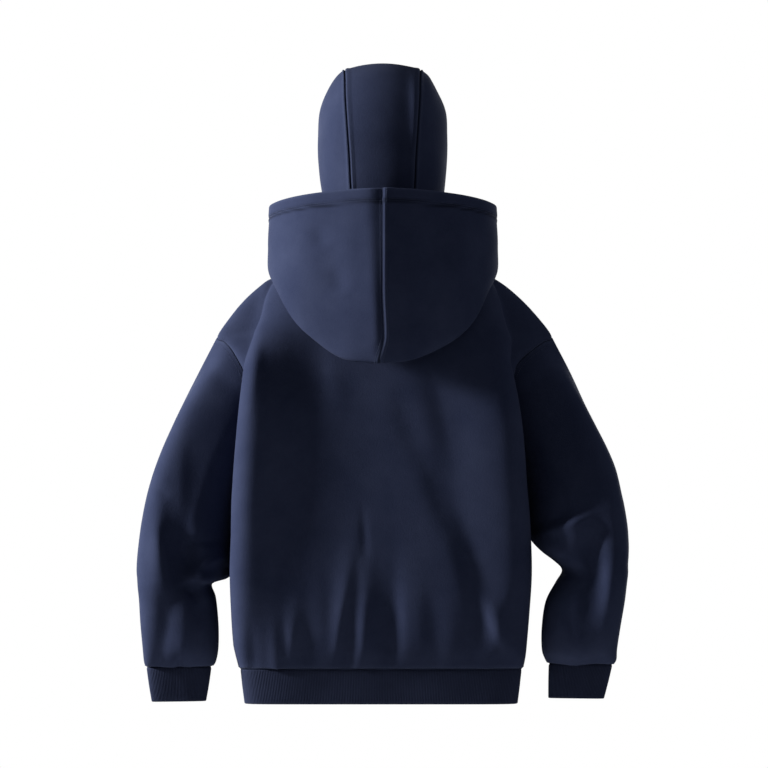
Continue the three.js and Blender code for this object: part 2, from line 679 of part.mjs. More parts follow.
const hoodLeft = hoodSide("left");
const hoodRight = hoodSide("right");
const crown = clothGrid(hoodRowPlaces, steps(1, -1, 8), (row, across) =>
  placed(crownPoint(row, across), "left"),
);

// A point of the outer hood's left half: a Catmull-Rom curve that rolls over the neck seam, goes
// down the underside, round the foot and up the outer face, through the points of its column.
function outerHoodPoint(column, height) {
  const c = readTable(outerHoodColumns, column);
  const start = neckPoint(c.turn);
  const rollX = mix(start.x, c.underX, ROLL_SHARE);
  const rollY = mix(start.y, c.underY, ROLL_SHARE);
  const xs = [start.x, rollX, c.underX, c.footX, c.outX, c.edgeX];
  const ys = [start.y, rollY, c.underY, c.footY, c.outY, c.edgeY];
  const zs = [start.z + 3 * SEAM_GAP, start.z + ROLL_HEIGHT, c.underZ, c.footZ, c.outZ, c.edgeZ];
  const at = height * (xs.length - 1);
  return new THREE.Vector3(readColumn(xs, at), readColumn(ys, at), readColumn(zs, at));
}

function outerHoodHalf(side) {
  const last = outerHoodColumns.turn.length - 1;
  const columns = steps(0, last, 14);
  const heights = steps(0, 1, 15);
  const pointAt = (height, column) => placed(outerHoodPoint(column, height), side);
  return clothGrid(heights, side === "left" ? [...columns].reverse() : columns, pointAt);
}

const bagLeft = outerHoodHalf("left");
const bagRight = outerHoodHalf("right");

const sleeves = { left: sleeveGrid("left"), right: sleeveGrid("right") };

// One side of a seam, as mitre takes it. Of a body panel's edge only the side seam and the shoulder
// seam are sewn to the other panel, and the armhole between them is left out.
const sameWay = (grid, edge) => edgeOf(grid, edge).map((place) => [grid, place]);
const sewn = (grid, edge) => {
  const armhole = (row) => row > UNDERARM_ROW && row < SHOULDER_ROW;
  return sameWay(grid, edge).filter(([, [i]]) => !armhole(bodyRowPlaces[i]));
};
mitre(sewn(back, "start"), sewn(front, "end"));
mitre(sewn(back, "end"), sewn(front, "start"));
mitre(sameWay(hoodLeft, "end"), sameWay(crown, "start"));
mitre(sameWay(hoodRight, "start"), sameWay(crown, "end"));
mitre(sameWay(bagLeft, "end"), sameWay(bagRight, "start"));

[back, front].forEach((grid) => ["start", "end", "foot", "top"].forEach((e) => drawBack(grid, e)));
[hoodLeft, hoodRight, crown].forEach((grid) => ["start", "end"].forEach((e) => drawBack(grid, e)));
drawBack(bagLeft, "end");
drawBack(bagRight, "start");
Object.values(sleeves).forEach((grid) => drawBack(grid, "top", 2.5 * SEAM_GAP));
Object.values(sleeves).forEach((grid) => drawBack(grid, "foot"));

// Deep navy cloth, matt and soft, with the rib knit a little darker.
const fleece = new THREE.MeshStandardMaterial({ color: "#262c40", roughness: 0.92, metalness: 0 });
const ribKnit = new THREE.MeshStandardMaterial({ color: "#1c2132", roughness: 0.95, metalness: 0 });

const hoodie = new THREE.Group();

function addPiece(name, geometry, material) {
  const piece = new THREE.Mesh(geometry, material);
  piece.name = name;
  hoodie.add(piece);
}

addPiece("back_panel", wallGeometry(back, FLEECE), fleece);
addPiece("front_panel", wallGeometry(front, FLEECE), fleece);
addPiece("sleeve_left", wallGeometry(sleeves.left, FLEECE), fleece);
addPiece("sleeve_right", wallGeometry(sleeves.right, FLEECE), fleece);
addPiece("inner_hood_left", wallGeometry(hoodLeft, FLEECE), fleece);
addPiece("inner_hood_right", wallGeometry(hoodRight, FLEECE), fleece);
addPiece("inner_hood_crown", wallGeometry(crown, FLEECE), fleece);
addPiece("outer_hood_left", wallGeometry(bagLeft, FLEECE), fleece);
addPiece("outer_hood_right", wallGeometry(bagRight, FLEECE), fleece);
addPiece("cuff_left", cuffGeometry("left"), ribKnit);
addPiece("cuff_right", cuffGeometry("right"), ribKnit);

const hemTop = backRows.seamZ[0] - 2 * SEAM_GAP;
const hemBand = ribbedBand(
  hemLine(HEM_TOP_SHARE, hemTop),
  hemLine(HEM_FOOT_SHARE, hemTop - HEM_DEPTH),
);
addPiece("hem_band", hemBand, ribKnit);

export default hoodie;
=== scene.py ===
import bpy
import numpy as np
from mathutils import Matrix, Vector


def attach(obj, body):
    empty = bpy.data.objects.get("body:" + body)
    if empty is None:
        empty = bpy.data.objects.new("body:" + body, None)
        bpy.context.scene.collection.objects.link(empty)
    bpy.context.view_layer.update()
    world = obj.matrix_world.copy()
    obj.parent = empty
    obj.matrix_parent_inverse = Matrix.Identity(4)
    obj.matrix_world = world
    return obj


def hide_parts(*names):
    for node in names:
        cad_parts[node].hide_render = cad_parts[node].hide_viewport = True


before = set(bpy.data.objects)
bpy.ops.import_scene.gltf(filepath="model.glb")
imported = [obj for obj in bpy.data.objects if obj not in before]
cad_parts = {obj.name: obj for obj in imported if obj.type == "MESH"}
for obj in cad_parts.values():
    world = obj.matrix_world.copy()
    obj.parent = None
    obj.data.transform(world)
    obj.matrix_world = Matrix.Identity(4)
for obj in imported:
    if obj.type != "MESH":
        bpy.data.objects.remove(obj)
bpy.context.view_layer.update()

# The body is a back and a front of brushed sweatshirt fleece, each cut on the fold and sewn to the
# other down the sides and over the shoulders. It hangs hollow, in long drapes beside the arms.
# Sizes are in millimetres, and a mesh is made in metres as it goes into Blender.
FLEECE = 2.6
SEAM_DIP, RIB_SEAM_DIP = 1.3, 2.2
# How far from a seam the cloth is rubbed, how far it turns to its neighbour's slope, and where the
# first row of stitches runs.
RUBBED_AT, SEAM_REACH, STITCHED_AT = 3.5, 8.0, 4
# The share of a panel's half width that lies behind the fold, or in front of it on the front.
ARC_SHARE = 0.66
UNDERARM_ROW, SHOULDER_ROW, NECK_ROW = 6, 14, 19
# The back and chest hang flat up to one row, and turn to the shoulders' rounder form by the other.
BODY_ROUND, SHOULDER_ROUND = 8, 2.35
FLAT_ROW, ROUND_ROW = 9, 16
# The drapes fade out over this share of the half width beside the fold, and over the last rows below
# the neck. The creases do so only beside a panel's own edges: hem, outer edge and neck.
DRAPE_FADE, DRAPE_NECK = 0.14, 4
CREASE_HEM, CREASE_FADE, CREASE_NECK = 0.07, 0.06, 1.5
# Where the spacing of a panel's points is measured: half way out, and at the row of the waist.
BODY_STEP, HALF_WAY, WAIST_ROW = 4.2, 0.5, 5.0


def table(names, rows):
    """Rows of numbers under named columns, kept as one array for each column."""
    return dict(zip(names.split(), np.array(rows, float).T))


# The rows run from the hem to the neck. middle: on the centre line. fold: where the cloth turns
# forward beside the arm. seam: the outer edge, which is side seam, then armhole, then shoulder.
body_columns = "middleY middleZ foldX foldY foldZ seamX seamY seamZ"
back_rows = table(body_columns, [
    [92, -647, 219, 12, -647, 219, -2, -647],
    [104, -610, 224, 15, -610, 223, -2, -610],
    [110, -560, 228, 21, -560, 227, -3, -560],
    [113, -500, 231, 28, -500, 223, -6, -500],
    [115, -440, 229, 36, -440, 209, -12, -440],
    [117, -400, 227, 41, -397, 203, -14, -396],
    [118, -365, 224, 44, -363, 204, -14, -362],
    [119, -330, 221, 48, -327, 203, 8, -325],
    [120, -290, 217, 51, -287, 202, 22, -285],
    [120, -250, 212, 54, -247, 203, 31, -245],
    [119, -215, 207, 57, -212, 204, 36, -210],
    [117, -182, 202, 59, -182, 211, 37, -182],
    [113, -152, 197, 54, -156, 229, 33, -158],
    [108, -122, 193, 50, -136, 246, 27, -143],
    [101, -95, 189, 46, -122, 259, 16, -135],
    [94, -70, 184, 42, -100, 238, 15, -104],
    [86, -49, 178, 36, -72, 209, 13, -72],
    [79, -33, 163, 27, -45, 175, 7, -46],
    [72, -21, 117, 24, -21, 122, 4, -20],
    [66, -14, 73, 20, -2, 76, 5, 0],
])
front_rows = table(body_columns, [
    [-90, -647, 219, -16, -647, 219, -2, -647],
    [-104, -610, 224, -22, -610, 223, -2, -610],
    [-112, -560, 228, -32, -560, 227, -3, -560],
    [-117, -500, 228, -48, -500, 223, -6, -500],
    [-120, -440, 224, -62, -440, 209, -12, -440],
    [-121, -402, 221, -66, -397, 203, -14, -396],
    [-122, -370, 218, -68, -363, 204, -14, -362],
    [-122, -338, 215, -72, -327, 203, -40, -325],
    [-121, -305, 211, -77, -288, 202, -54, -285],
    [-119, -272, 207, -80, -249, 203, -63, -245],
    [-117, -243, 202, -82, -215, 205, -66, -210],
    [-114, -218, 198, -82, -186, 213, -62, -182],
    [-110, -194, 194, -78, -162, 231, -44, -158],
    [-106, -173, 190, -71, -142, 247, -16, -143],
    [-101, -154, 186, -62, -127, 259, 16, -135],
    [-95, -136, 180, -53, -104, 238, 15, -104],
    [-90, -121, 173, -44, -78, 209, 13, -72],
    [-85, -108, 157, -32, -56, 175, 7, -46],
    [-81, -96, 113, -22, -31, 122, 4, -20],
    [-76, -84, 72, -16, -8, 76, 5, 0],
])

# The drapes. x, z: the middle of the drape. run: half its length. left, right: how wide it is on
# either side. lean: how far its top leans to the left arm, in degrees. lift: how far it stands up.
drape_columns = "x z run left right lean lift"
back_drapes = table(drape_columns, [
    [203, -310, 380, 20, 24, -3, 8],
    [100, -340, 310, 50, 150, -5, -12.5],
    [-204, -360, 260, 26, 34, 3, 2],
    [-100, -265, 100, 26, 50, 14, -5],
    [-140, -460, 120, 22, 44, 18, -5],
    [62, -590, 90, 14, 14, -6, 4],
    [24, -590, 80, 13, 13, 0, 4],
    [-15, -590, 90, 14, 14, -2, -5],
    [-60, -590, 60, 20, 20, 4, 3],
    [134, -600, 60, 13, 13, -3, 4],
    [-152, -570, 90, 16, 20, 10, -4],
    [-184, -590, 70, 15, 15, 28, 6],
])
front_drapes = table(drape_columns, [
    [190, -330, 300, 26, 26, -3, 9],
    [110, -330, 230, 36, 36, -4, -9],
    [-190, -330, 300, 26, 26, 3, 9],
    [-104, -340, 230, 36, 36, 5, -9],
    [30, -560, 90, 16, 16, -6, 6],
    [-20, -590, 70, 14, 14, 5, -5],
    [-70, -585, 70, 16, 16, 10, 6],
    [90, -600, 60, 15, 15, -8, 6],
    [150, -600, 55, 15, 15, -16, 6],
    [-150, -590, 60, 15, 15, 16, 6],
])

# The creases on top of the drapes, as the cloth broke in wear. Each runs from its first place to its
# second, bowed by bow. left, right: how wide its two flanks are. lift: how far it stands up.
crease_columns = "x1 z1 x2 z2 bow left right lift"
back_creases = table(crease_columns, [
    [38, -410, 92, -690, -3, 20, 9, 2.2],
    [31, -380, 24, -490, 0, 6, 6, -1.6],
    [52, -520, 54, -700, 0, 9, 9, -2.4],
    [27, -505, 38, -700, 0, 13, 8, 2.2],
    [2, -430, -6, -700, 0, 13, 13, -1.8],
    [-34, -500, -36, -700, 0, 18, 14, 1.6],
    [-72, -490, -76, -700, 0, 16, 14, -1.4],
    [-106, -500, -104, -700, 0, 20, 18, 1.6],
    [-20, -190, -78, -350, 6, 20, 26, -2.2],
    [-60, -290, -118, -450, 4, 18, 26, -3.0],
    [-92, -390, -158, -570, -4, 16, 20, -2.0],
    [-162, -500, -108, -700, -6, 18, 24, -1.4],
    [-206, -470, -138, -700, -3, 24, 14, 3.4],
    [-201, -110, -203, -560, 0, 80, 15, 7.0],
    [166, -545, 158, -710, 0, 12, 10, 3.2],
    [142, -520, 141, -700, 0, 12, 9, 1.6],
    [122, -540, 120, -710, 0, 14, 15, -1.2],
    [100, -470, 92, -660, 0, 28, 14, 2.2],
    [202, -540, 196, -700, 0, 9, 10, -2.0],
    [170, 20, 205, -290, 0, 9, 8, 3.4],
    [140, 20, 116, -330, 0, 34, 44, -4.4],
    [82, -160, 52, -260, 6, 16, 16, 1.2],
])
front_creases = table(crease_columns, [
    [130, -150, 96, -420, 8, 16, 7, 2.4],
    [-130, -150, -98, -430, -8, 7, 16, 2.4],
    [40, -500, 30, -640, 3, 9, 6, 2.4],
    [-30, -520, -36, -642, -3, 7, 9, -2.2],
    [92, -540, 84, -640, 3, 9, 6, 2.4],
    [150, -540, 138, -640, 4, 9, 6, 2.4],
    [-84, -540, -76, -640, -3, 6, 9, 2.4],
    [-160, -530, -142, -640, -4, 6, 9, 2.6],
    [-200, -520, -186, -632, -4, 7, 8, -2.0],
    [196, -520, 184, -632, 4, 7, 8, -2.0],
    [0, -300, 30, -430, 8, 18, 18, 1.6],
    [-60, -260, -20, -380, -8, 18, 16, -1.4],
])

# How far each height of the body hangs to the left of straight.
sway_heights = np.array([-700, -450, -350, -180, -135, -60, 300], float)
sway_shifts = np.array([1.5, 1, 4, 5, -4, -1.5, -1])


def mix(a, b, t):
    """A straight line from a, where t is 0, to b, where it is 1."""
    return a + (b - a) * t


def ease(low, high, value):
    """0 below low, 1 above high, and a smooth cubic step between."""
    t = np.clip((value - low) / (high - low), 0, 1)
    return t * t * (3 - 2 * t)


def read(values, at):
    """A list read between its members, at each place, on a Catmull-Rom curve through them."""
    at = np.asarray(at, float)
    ends = np.concatenate([2 * values[:1] - values[1:2], values, 2 * values[-1:] - values[-2:-1]])
    i = np.clip(np.floor(at).astype(int), 0, len(values) - 2)
    t = at - i
    a, b, c, d = (ends[i + k] if ends.ndim == 1 else np.take_along_axis(ends, (i + k)[None], 0)[0]
                  for k in range(4))
    return b + 0.5 * t * (c - a + t * (2 * a - 5 * b + 4 * c - d + t * (3 * (b - c) + d - a)))


def read_point(rows, name, at):
    """A point from a table's three columns of that name, each read between its rows."""
    return np.stack([read(rows[name + axis], at) for axis in "XYZ"], -1)


def placed(points, side):
    """Points of the left half, mirrored for the right one and shifted by the sway of their height."""
    z = points[..., 2]
    i = np.clip(np.searchsorted(sway_heights, z), 1, len(sway_heights) - 1)
    share = ease(sway_heights[i - 1], sway_heights[i], z)
    shift = mix(sway_shifts[i - 1], sway_shifts[i], share)
    return np.stack([side * points[..., 0] + shift, points[..., 1], z], -1)


def body_edge(rows, row):
    """The outer edge of a row. Where the panels are sewn together it is the mean of theirs."""
    own = read_point(rows, "seam", row)
    both = (read_point(back_rows, "seam", row) + read_point(front_rows, "seam", row)) / 2
    shared = (row <= UNDERARM_ROW) | (row >= SHOULDER_ROW)
    return np.where(shared[..., None], both, own)


def square_arc(angle, square):
    """A superellipse of radius 1 by the angle from its first axis: how far along each axis. An
    exponent of 2 is a circle, and more is squarer."""
    c, s = np.cos(angle), np.sin(angle)
    reach = (np.abs(c) ** square + np.abs(s) ** square) ** (-1 / square)
    return c * reach, s * reach


def body_point(rows, row, out):
    """A quarter of a superellipse from the centre line, out 0, to the fold, then a cubic Bezier
    curve that leaves the fold forward and tucks in to the outer edge, out 1."""
    row, out = np.broadcast_arrays(np.asarray(row, float), np.asarray(out, float))
    r = {name: read(values, row) for name, values in rows.items()}
    angle = np.minimum(out / ARC_SHARE, 1) * np.pi / 2
    deep, wide = square_arc(angle, mix(BODY_ROUND, SHOULDER_ROUND, ease(FLAT_ROW, ROUND_ROW, row)))
    arc = np.stack([
        r["foldX"] * wide,
        mix(r["foldY"], r["middleY"], deep),
        mix(r["foldZ"], r["middleZ"], np.cos(angle) ** 2),
    ], -1)
    edge = body_edge(rows, row)
    depth = r["foldY"] - edge[..., 1]
    fold = np.stack([r["foldX"], r["foldY"], r["foldZ"]], -1)
    near = np.stack([r["foldX"], r["foldY"] - 0.25 * depth, mix(r["foldZ"], edge[..., 2], 0.2)], -1)
    far = np.stack([edge[..., 0], edge[..., 1] + 0.75 * depth, mix(r["foldZ"], edge[..., 2], 0.6)], -1)
    t = np.clip((out - ARC_SHARE) / (1 - ARC_SHARE), 0, 1)[..., None]
    tuck = (1 - t) ** 3 * fold + 3 * t * (1 - t) ** 2 * near + 3 * t * t * (1 - t) * far + t ** 3 * edge
    return np.where(out[..., None] <= ARC_SHARE, arc, tuck)


def drape_lift(drapes, x, z):
    """The sum of the drapes: each is a Gaussian of the distance across it and along it."""
    x, z = x[..., None], z[..., None]
    lean = np.radians(drapes["lean"])
    dx, dz = x - drapes["x"], z - drapes["z"]
    across = dx * np.cos(lean) - dz * np.sin(lean)
    across = across / np.where(across > 0, drapes["left"], drapes["right"])
    along = (dx * np.sin(lean) + dz * np.cos(lean)) / drapes["run"]
    return (drapes["lift"] * np.exp(-across ** 2 - along ** 2)).sum(-1)


def crease_lift(creases, x, z):
    """The sum of the creases: across each, a Gaussian with its own width on either side of a bowed
    line, and along it a rise and fall that fades out at both ends."""
    c = creases
    run_x, run_z = c["x2"] - c["x1"], c["z2"] - c["z1"]
    length = np.hypot(run_x, run_z)
    dx, dz = x[..., None] - c["x1"], z[..., None] - c["z1"]
    along = (dx * run_x + dz * run_z) / length ** 2
    across = (dx * -run_z + dz * run_x) / length - c["bow"] * 4 * along * (1 - along)
    wide = np.where(across > 0, c["left"], c["right"])
    fade = ease(0, 0.5, along) * ease(0, 0.4, 1 - along)
    return (c["lift"] * fade * np.exp(-(across / wide) ** 2)).sum(-1)


def unit(vectors):
    """Vectors at length 1."""
    return vectors / np.linalg.norm(vectors, axis=-1, keepdims=True)


def run_of(line):
    """How far along a line each of its points lies."""
    return np.concatenate([[0], np.cumsum(np.linalg.norm(np.diff(line, axis=0), axis=1))])


def spread(curve, last, step, fine=(0, 0.5, 1.2, 2.1, 3.3, 4.8)):
    """Places along a curve of 0 to last: close together at both ends, and a step apart between."""
    dense = np.linspace(0, last, 1200)
    run = run_of(curve(dense))
    inner = np.arange(fine[-1] + step, run[-1] - fine[-1] - step / 2, step)
    return np.interp(np.concatenate([fine, inner, run[-1] - np.array(fine[::-1])]), run, dense)


def normals_of(points, ring=False):
    """The cross product of the steps along the rows and up the columns, at unit length."""
    along = np.roll(points, -1, 1) - np.roll(points, 1, 1) if ring else np.gradient(points, axis=1)
    return unit(np.cross(along, np.gradient(points, axis=0)))


def run_along(points):
    """How far each point of a grid lies, along the cloth, from the first point of its row."""
    hops = np.linalg.norm(np.diff(points, axis=1), axis=2)
    return np.concatenate([np.zeros((len(points), 1)), np.cumsum(hops, 1)], 1)


def edge_runs(points):
    """The distance of each point from each edge of its grid, by the edge's name."""
    across, up = run_along(points), run_along(points.swapaxes(0, 1)).T
    return {"start": across, "end": across[:, -1:] - across, "foot": up, "top": up[-1:] - up}


EDGE_VIEWS = {
    "start": lambda grid: grid,
    "end": lambda grid: grid[:, ::-1],
    "foot": lambda grid: grid.swapaxes(0, 1),
    "top": lambda grid: grid[::-1].swapaxes(0, 1),
}


def share_normals(points_a, normals_a, edge_a, points_b, normals_b, edge_b):
    """Turns the normals of two sewn pieces towards their mean at the seam, over a short reach."""
    views = [EDGE_VIEWS[edge_a](normals_a), EDGE_VIEWS[edge_b](normals_b)]
    runs = [EDGE_VIEWS[e](edge_runs(p)[e][..., None])
            for p, e in ((points_a, edge_a), (points_b, edge_b))]
    shared = unit(views[0][:, :1] + views[1][:, :1])
    for view, run in zip(views, runs):
        view[...] = unit(mix(shared, view, ease(0, SEAM_REACH, run)))


def put(name, verts, faces, material, uv=None, marks=None):
    """Puts points in millimetres and faces of one size into a new smooth mesh, in metres, with the cloth's
    own UV map and attributes: how worn each point is, which on the rib knit is the painted shade of its
    grooves, and how pressed it is, which also paints shade into seams and grooves."""
    mesh = bpy.data.meshes.new(name)
    size = faces.shape[1]
    mesh.vertices.add(len(verts))
    mesh.vertices.foreach_set("co", (np.asarray(verts) * 0.001).astype(np.float32).ravel())
    mesh.loops.add(faces.size)
    mesh.loops.foreach_set("vertex_index", faces.astype(np.int32).ravel())
    mesh.polygons.add(len(faces))
    mesh.polygons.foreach_set("loop_start", np.arange(0, faces.size, size, dtype=np.int32))
    mesh.update(calc_edges=True)
    mesh.shade_smooth()
    if uv is not None:
        layer = mesh.uv_layers.new(name="cloth")
        layer.uv.foreach_set("vector", (uv[faces.ravel()] * 0.001).astype(np.float32).ravel())
        for kind, values in marks.items():
            mark = mesh.attributes.new(kind, "FLOAT", "POINT")
            mark.data.foreach_set("value", values.astype(np.float32))
    mesh.materials.append(material)
    piece = bpy.data.objects.new(name, mesh)
    bpy.context.scene.collection.objects.link(piece)
    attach(piece, "root")
    return piece


def wall(name, points, normals, thick, free, sewn, material, ring=False, pressed_and_shaded=0.0):
    """A closed wall of cloth: the grid is its outer face, and the same grid moved in by the thickness its
    inner one. At a free edge both faces round over to the middle of the cloth, on a circle. At a sewn edge
    the outer face dips into the seam, as deep as sewn says by the edge's name, and wider where it is
    deeper. The cloth is rubbed at a free edge and beside a seam. In a seam's dip, and where the last
    argument marks, it is painted darker: partly cloth pressed flat, partly painted shade."""
    rows, columns = points.shape[:2]
    runs = edge_runs(points)
    thick = np.broadcast_to(np.asarray(thick, float), (rows, columns))
    rolled, sunk, near = np.zeros_like(thick), np.zeros_like(thick), np.zeros_like(thick)
    pressed_and_shaded = np.broadcast_to(np.asarray(pressed_and_shaded, float), (rows, columns))
    for edge in free:
        left = np.clip(1 - runs[edge] / (thick / 2), 0, 0.98)
        rolled = np.maximum(rolled, 1 - np.sqrt(1 - left ** 2))
        near = np.maximum(near, np.exp(-(runs[edge] / 3) ** 2))
    for edge, dip in sewn.items():
        in_seam = np.exp(-(runs[edge] / (1 + 0.7 * dip)) ** 2)
        sunk = np.maximum(sunk, dip * in_seam)
        # The seam's dip is painted darker: cloth pressed flat, and painted shade.
        pressed_and_shaded = np.maximum(pressed_and_shaded, in_seam)
        near = np.maximum(near, 0.7 * np.exp(-((runs[edge] - RUBBED_AT) / 2.2) ** 2))
    half = (thick / 2)[..., None] * normals
    middle = points - half
    outer = middle + half * (1 - rolled[..., None]) - sunk[..., None] * normals
    inner = middle - half * (1 - rolled[..., None])
    verts = np.concatenate([outer.reshape(-1, 3), inner.reshape(-1, 3)])
    count = rows * columns
    wrap = columns if ring else columns - 1
    i, j = np.arange(rows)[:, None], np.arange(wrap)[None]
    here, beyond = i * columns + j, i * columns + (j + 1) % columns
    face = np.stack([here[:-1], beyond[:-1], beyond[1:], here[1:]], -1).reshape(-1, 4)
    strips = [
        np.stack([here[0], here[0] + count, beyond[0] + count, beyond[0]], -1),
        np.stack([here[-1], beyond[-1], beyond[-1] + count, here[-1] + count], -1),
    ]
    if not ring:
        left, right = np.arange(rows) * columns, np.arange(rows) * columns + columns - 1
        strips += [
            np.stack([left[:-1], left[1:], left[1:] + count, left[:-1] + count], -1),
            np.stack([right[:-1], right[:-1] + count, right[1:] + count, right[1:]], -1),
        ]
    faces = np.concatenate([face, face[:, ::-1] + count] + strips)
    uv = np.stack([runs["start"], runs["foot"]], -1).reshape(-1, 2)
    marks = {"worn_and_groove_shade": np.tile(near.reshape(-1), 2), "pressed_and_shaded": np.tile(pressed_and_shaded.reshape(-1), 2)}
    return put(name, verts, faces, material, np.concatenate([uv, uv]), marks)


def paint(code):
    """A colour that is written as an sRGB hex code, in the linear values that Blender uses."""
    srgb = np.array([int(code[k:k + 2], 16) for k in (1, 3, 5)]) / 255
    return tuple(np.where(srgb <= 0.04045, srgb / 12.92, ((srgb + 0.055) / 1.055) ** 2.4)) + (1.0,)


def add(tree, kind, values=None, links=None, **settings):
    """Adds a shader node, with its settings, its sockets' fixed values and its incoming links."""
    made = tree.nodes.new("ShaderNode" + kind)
    for name, value in settings.items():
        setattr(made, name, value)
    for name, value in (values or {}).items():
        made.inputs[name].default_value = value
    for name, source in (links or {}).items():
        tree.links.new(source, made.inputs[name])
    return made


def blank_material(name, **finish):
    """A new material, its node tree, and its shader with the fixed values of its finish."""
    material = bpy.data.materials.new(name)
    material.use_nodes = True
    shader = material.node_tree.nodes["Principled BSDF"]
    for socket, value in finish.items():
        shader.inputs[socket.replace("_", " ")].default_value = value
    return material, material.node_tree, shader


def brushed_fleece():
    """The face of sweatshirt fleece: a fine jersey of upright stitch columns, about 1.2 mm apart, under a
    short brushed nap. The dye lies a little unevenly, and the nap is paler where it has rubbed at seams and
    edges. It is painted darker in seams and in the hem's grooves, partly as cloth pressed flat and partly
    as painted shade. It is matt, and its nap catches the light at grazing angles."""
    material, tree, shader = blank_material(
        "brushed_fleece", Roughness=0.95, Specular_IOR_Level=0.06, Sheen_Weight=0.04,
        Sheen_Roughness=0.45, Sheen_Tint=paint("#8c97b8"))
    spot = add(tree, "TexCoord")
    cloth = add(tree, "UVMap", uv_map="cloth")
    clouds = add(tree, "TexNoise", {"Scale": 14, "Detail": 4, "Roughness": 0.6},
                 {"Vector": spot.outputs["Object"]})
    nap = add(tree, "TexNoise", {"Scale": 420, "Detail": 3, "Roughness": 0.65},
              {"Vector": spot.outputs["Object"]})
    jersey = add(tree, "TexWave", {"Scale": 262, "Distortion": 1.5, "Detail": 1, "Detail Scale": 2},
                 {"Vector": cloth.outputs["UV"]}, bands_direction="X")
    dye_and_groove_shade = add(tree, "ValToRGB", None, {"Fac": clouds.outputs["Fac"]})
    for stop, place, code in zip(dye_and_groove_shade.color_ramp.elements, (0.3, 0.75), ("#232940", "#2f354c")):
        stop.position, stop.color = place, paint(code)
    worn_and_groove_shade = add(tree, "Attribute", attribute_name="worn_and_groove_shade")
    pressed_and_shaded = add(tree, "Attribute", attribute_name="pressed_and_shaded")
    colour = dye_and_groove_shade.outputs["Color"]
    # The last of these paints seams and the hem's grooves darker: pressed cloth and painted shade.
    for mask, share, code in ((nap, 0.4, "#363e57"), (worn_and_groove_shade, 0.3, "#4a536f"), (pressed_and_shaded, 0.7, "#121622")):
        amount = add(tree, "Math", {1: share}, {0: mask.outputs["Fac"]}, operation="MULTIPLY")
        tint = add(tree, "Mix", {"B": paint(code)}, {"A": colour, "Factor": amount.outputs["Value"]},
                   data_type="RGBA")
        colour = tint.outputs["Result"]
    relief = add(tree, "Bump", {"Strength": 0.9, "Distance": 0.0004},
                 {"Height": nap.outputs["Fac"]})
    relief = add(tree, "Bump", {"Strength": 0.35, "Distance": 0.00015},
                 {"Height": jersey.outputs["Fac"], "Normal": relief.outputs["Normal"]})
    tree.links.new(colour, shader.inputs["Base Color"])
    tree.links.new(relief.outputs["Normal"], shader.inputs["Normal"])
    return material


fleece = brushed_fleece()
ARMHOLE_HEART = np.array([150, -10, -250.0])
row_places = spread(lambda row: body_point(back_rows, row, HALF_WAY), NECK_ROW, BODY_STEP)


def body_panel(rows, drapes, creases, sense):
    """A panel's grid from edge to edge across the centre line, moved out along its normals by its
    drapes and creases, and its normals. sense: 1 on the back and -1 on the front."""
    half = spread(lambda out: body_point(rows, np.full_like(out, WAIST_ROW), out), 1, BODY_STEP)
    out = np.concatenate([-half[:0:-1], half])[None]
    row = row_places[:, None]
    side = np.where(out * sense < 0, 1.0, -1.0)
    points = placed(body_point(rows, row, np.abs(out)), side)
    x, z = points[..., 0], points[..., 2]
    near_fold = (ARC_SHARE - np.abs(out)) / DRAPE_FADE
    free = np.clip(np.minimum(near_fold, np.minimum((NECK_ROW - row) / DRAPE_NECK, row)), 0, 1)
    held = ease(0, CREASE_HEM, row) * ease(0, CREASE_FADE, 1 - np.abs(out))
    held = held * ease(0, CREASE_NECK, NECK_ROW - row)
    lift = drape_lift(drapes, x, z) * free + crease_lift(creases, x, z) * held
    points = points + normals_of(points) * lift[..., None]
    return points, normals_of(points)


def armhole_normals(points, normals, edge, side, hold):
    """Near an armhole, the normals of what is sewn there turn to the direction away from a place in
    the body beside it, so that both pieces dip into the seam together. hold: where, along the edge."""
    away = unit(points - ARMHOLE_HEART * [side, 1, 1])
    near = (1 - ease(0, SEAM_REACH, edge_runs(points)[edge])) * hold
    normals[...] = unit(mix(normals, away, near[..., None]))


def sewn_line(points, normals, edge, distance):
    """A line on the outer face of a grid, at a distance from one of its edges, and its normals."""
    grid, out = EDGE_VIEWS[edge](points), EDGE_VIEWS[edge](normals)
    run = EDGE_VIEWS[edge](edge_runs(points)[edge][..., None])[..., 0]
    k = (run < distance).sum(1)[:, None]
    near, far = np.take_along_axis(run, k - 1, 1), np.take_along_axis(run, k, 1)
    t = ((distance - near) / (far - near))[..., None]
    return [mix(np.take_along_axis(g, k[..., None] - 1, 1), np.take_along_axis(g, k[..., None], 1), t)[:, 0]
            for g in (grid, out)]


def points_at(places, run, line):
    """The points of a line, or its normals, at places along it."""
    return np.stack([np.interp(places, run, line[:, k]) for k in range(3)], -1)


STITCH_PITCH, STITCH_LENGTH, THREAD, SEAM_END = 3.2, 2.5, 0.55, 2.0


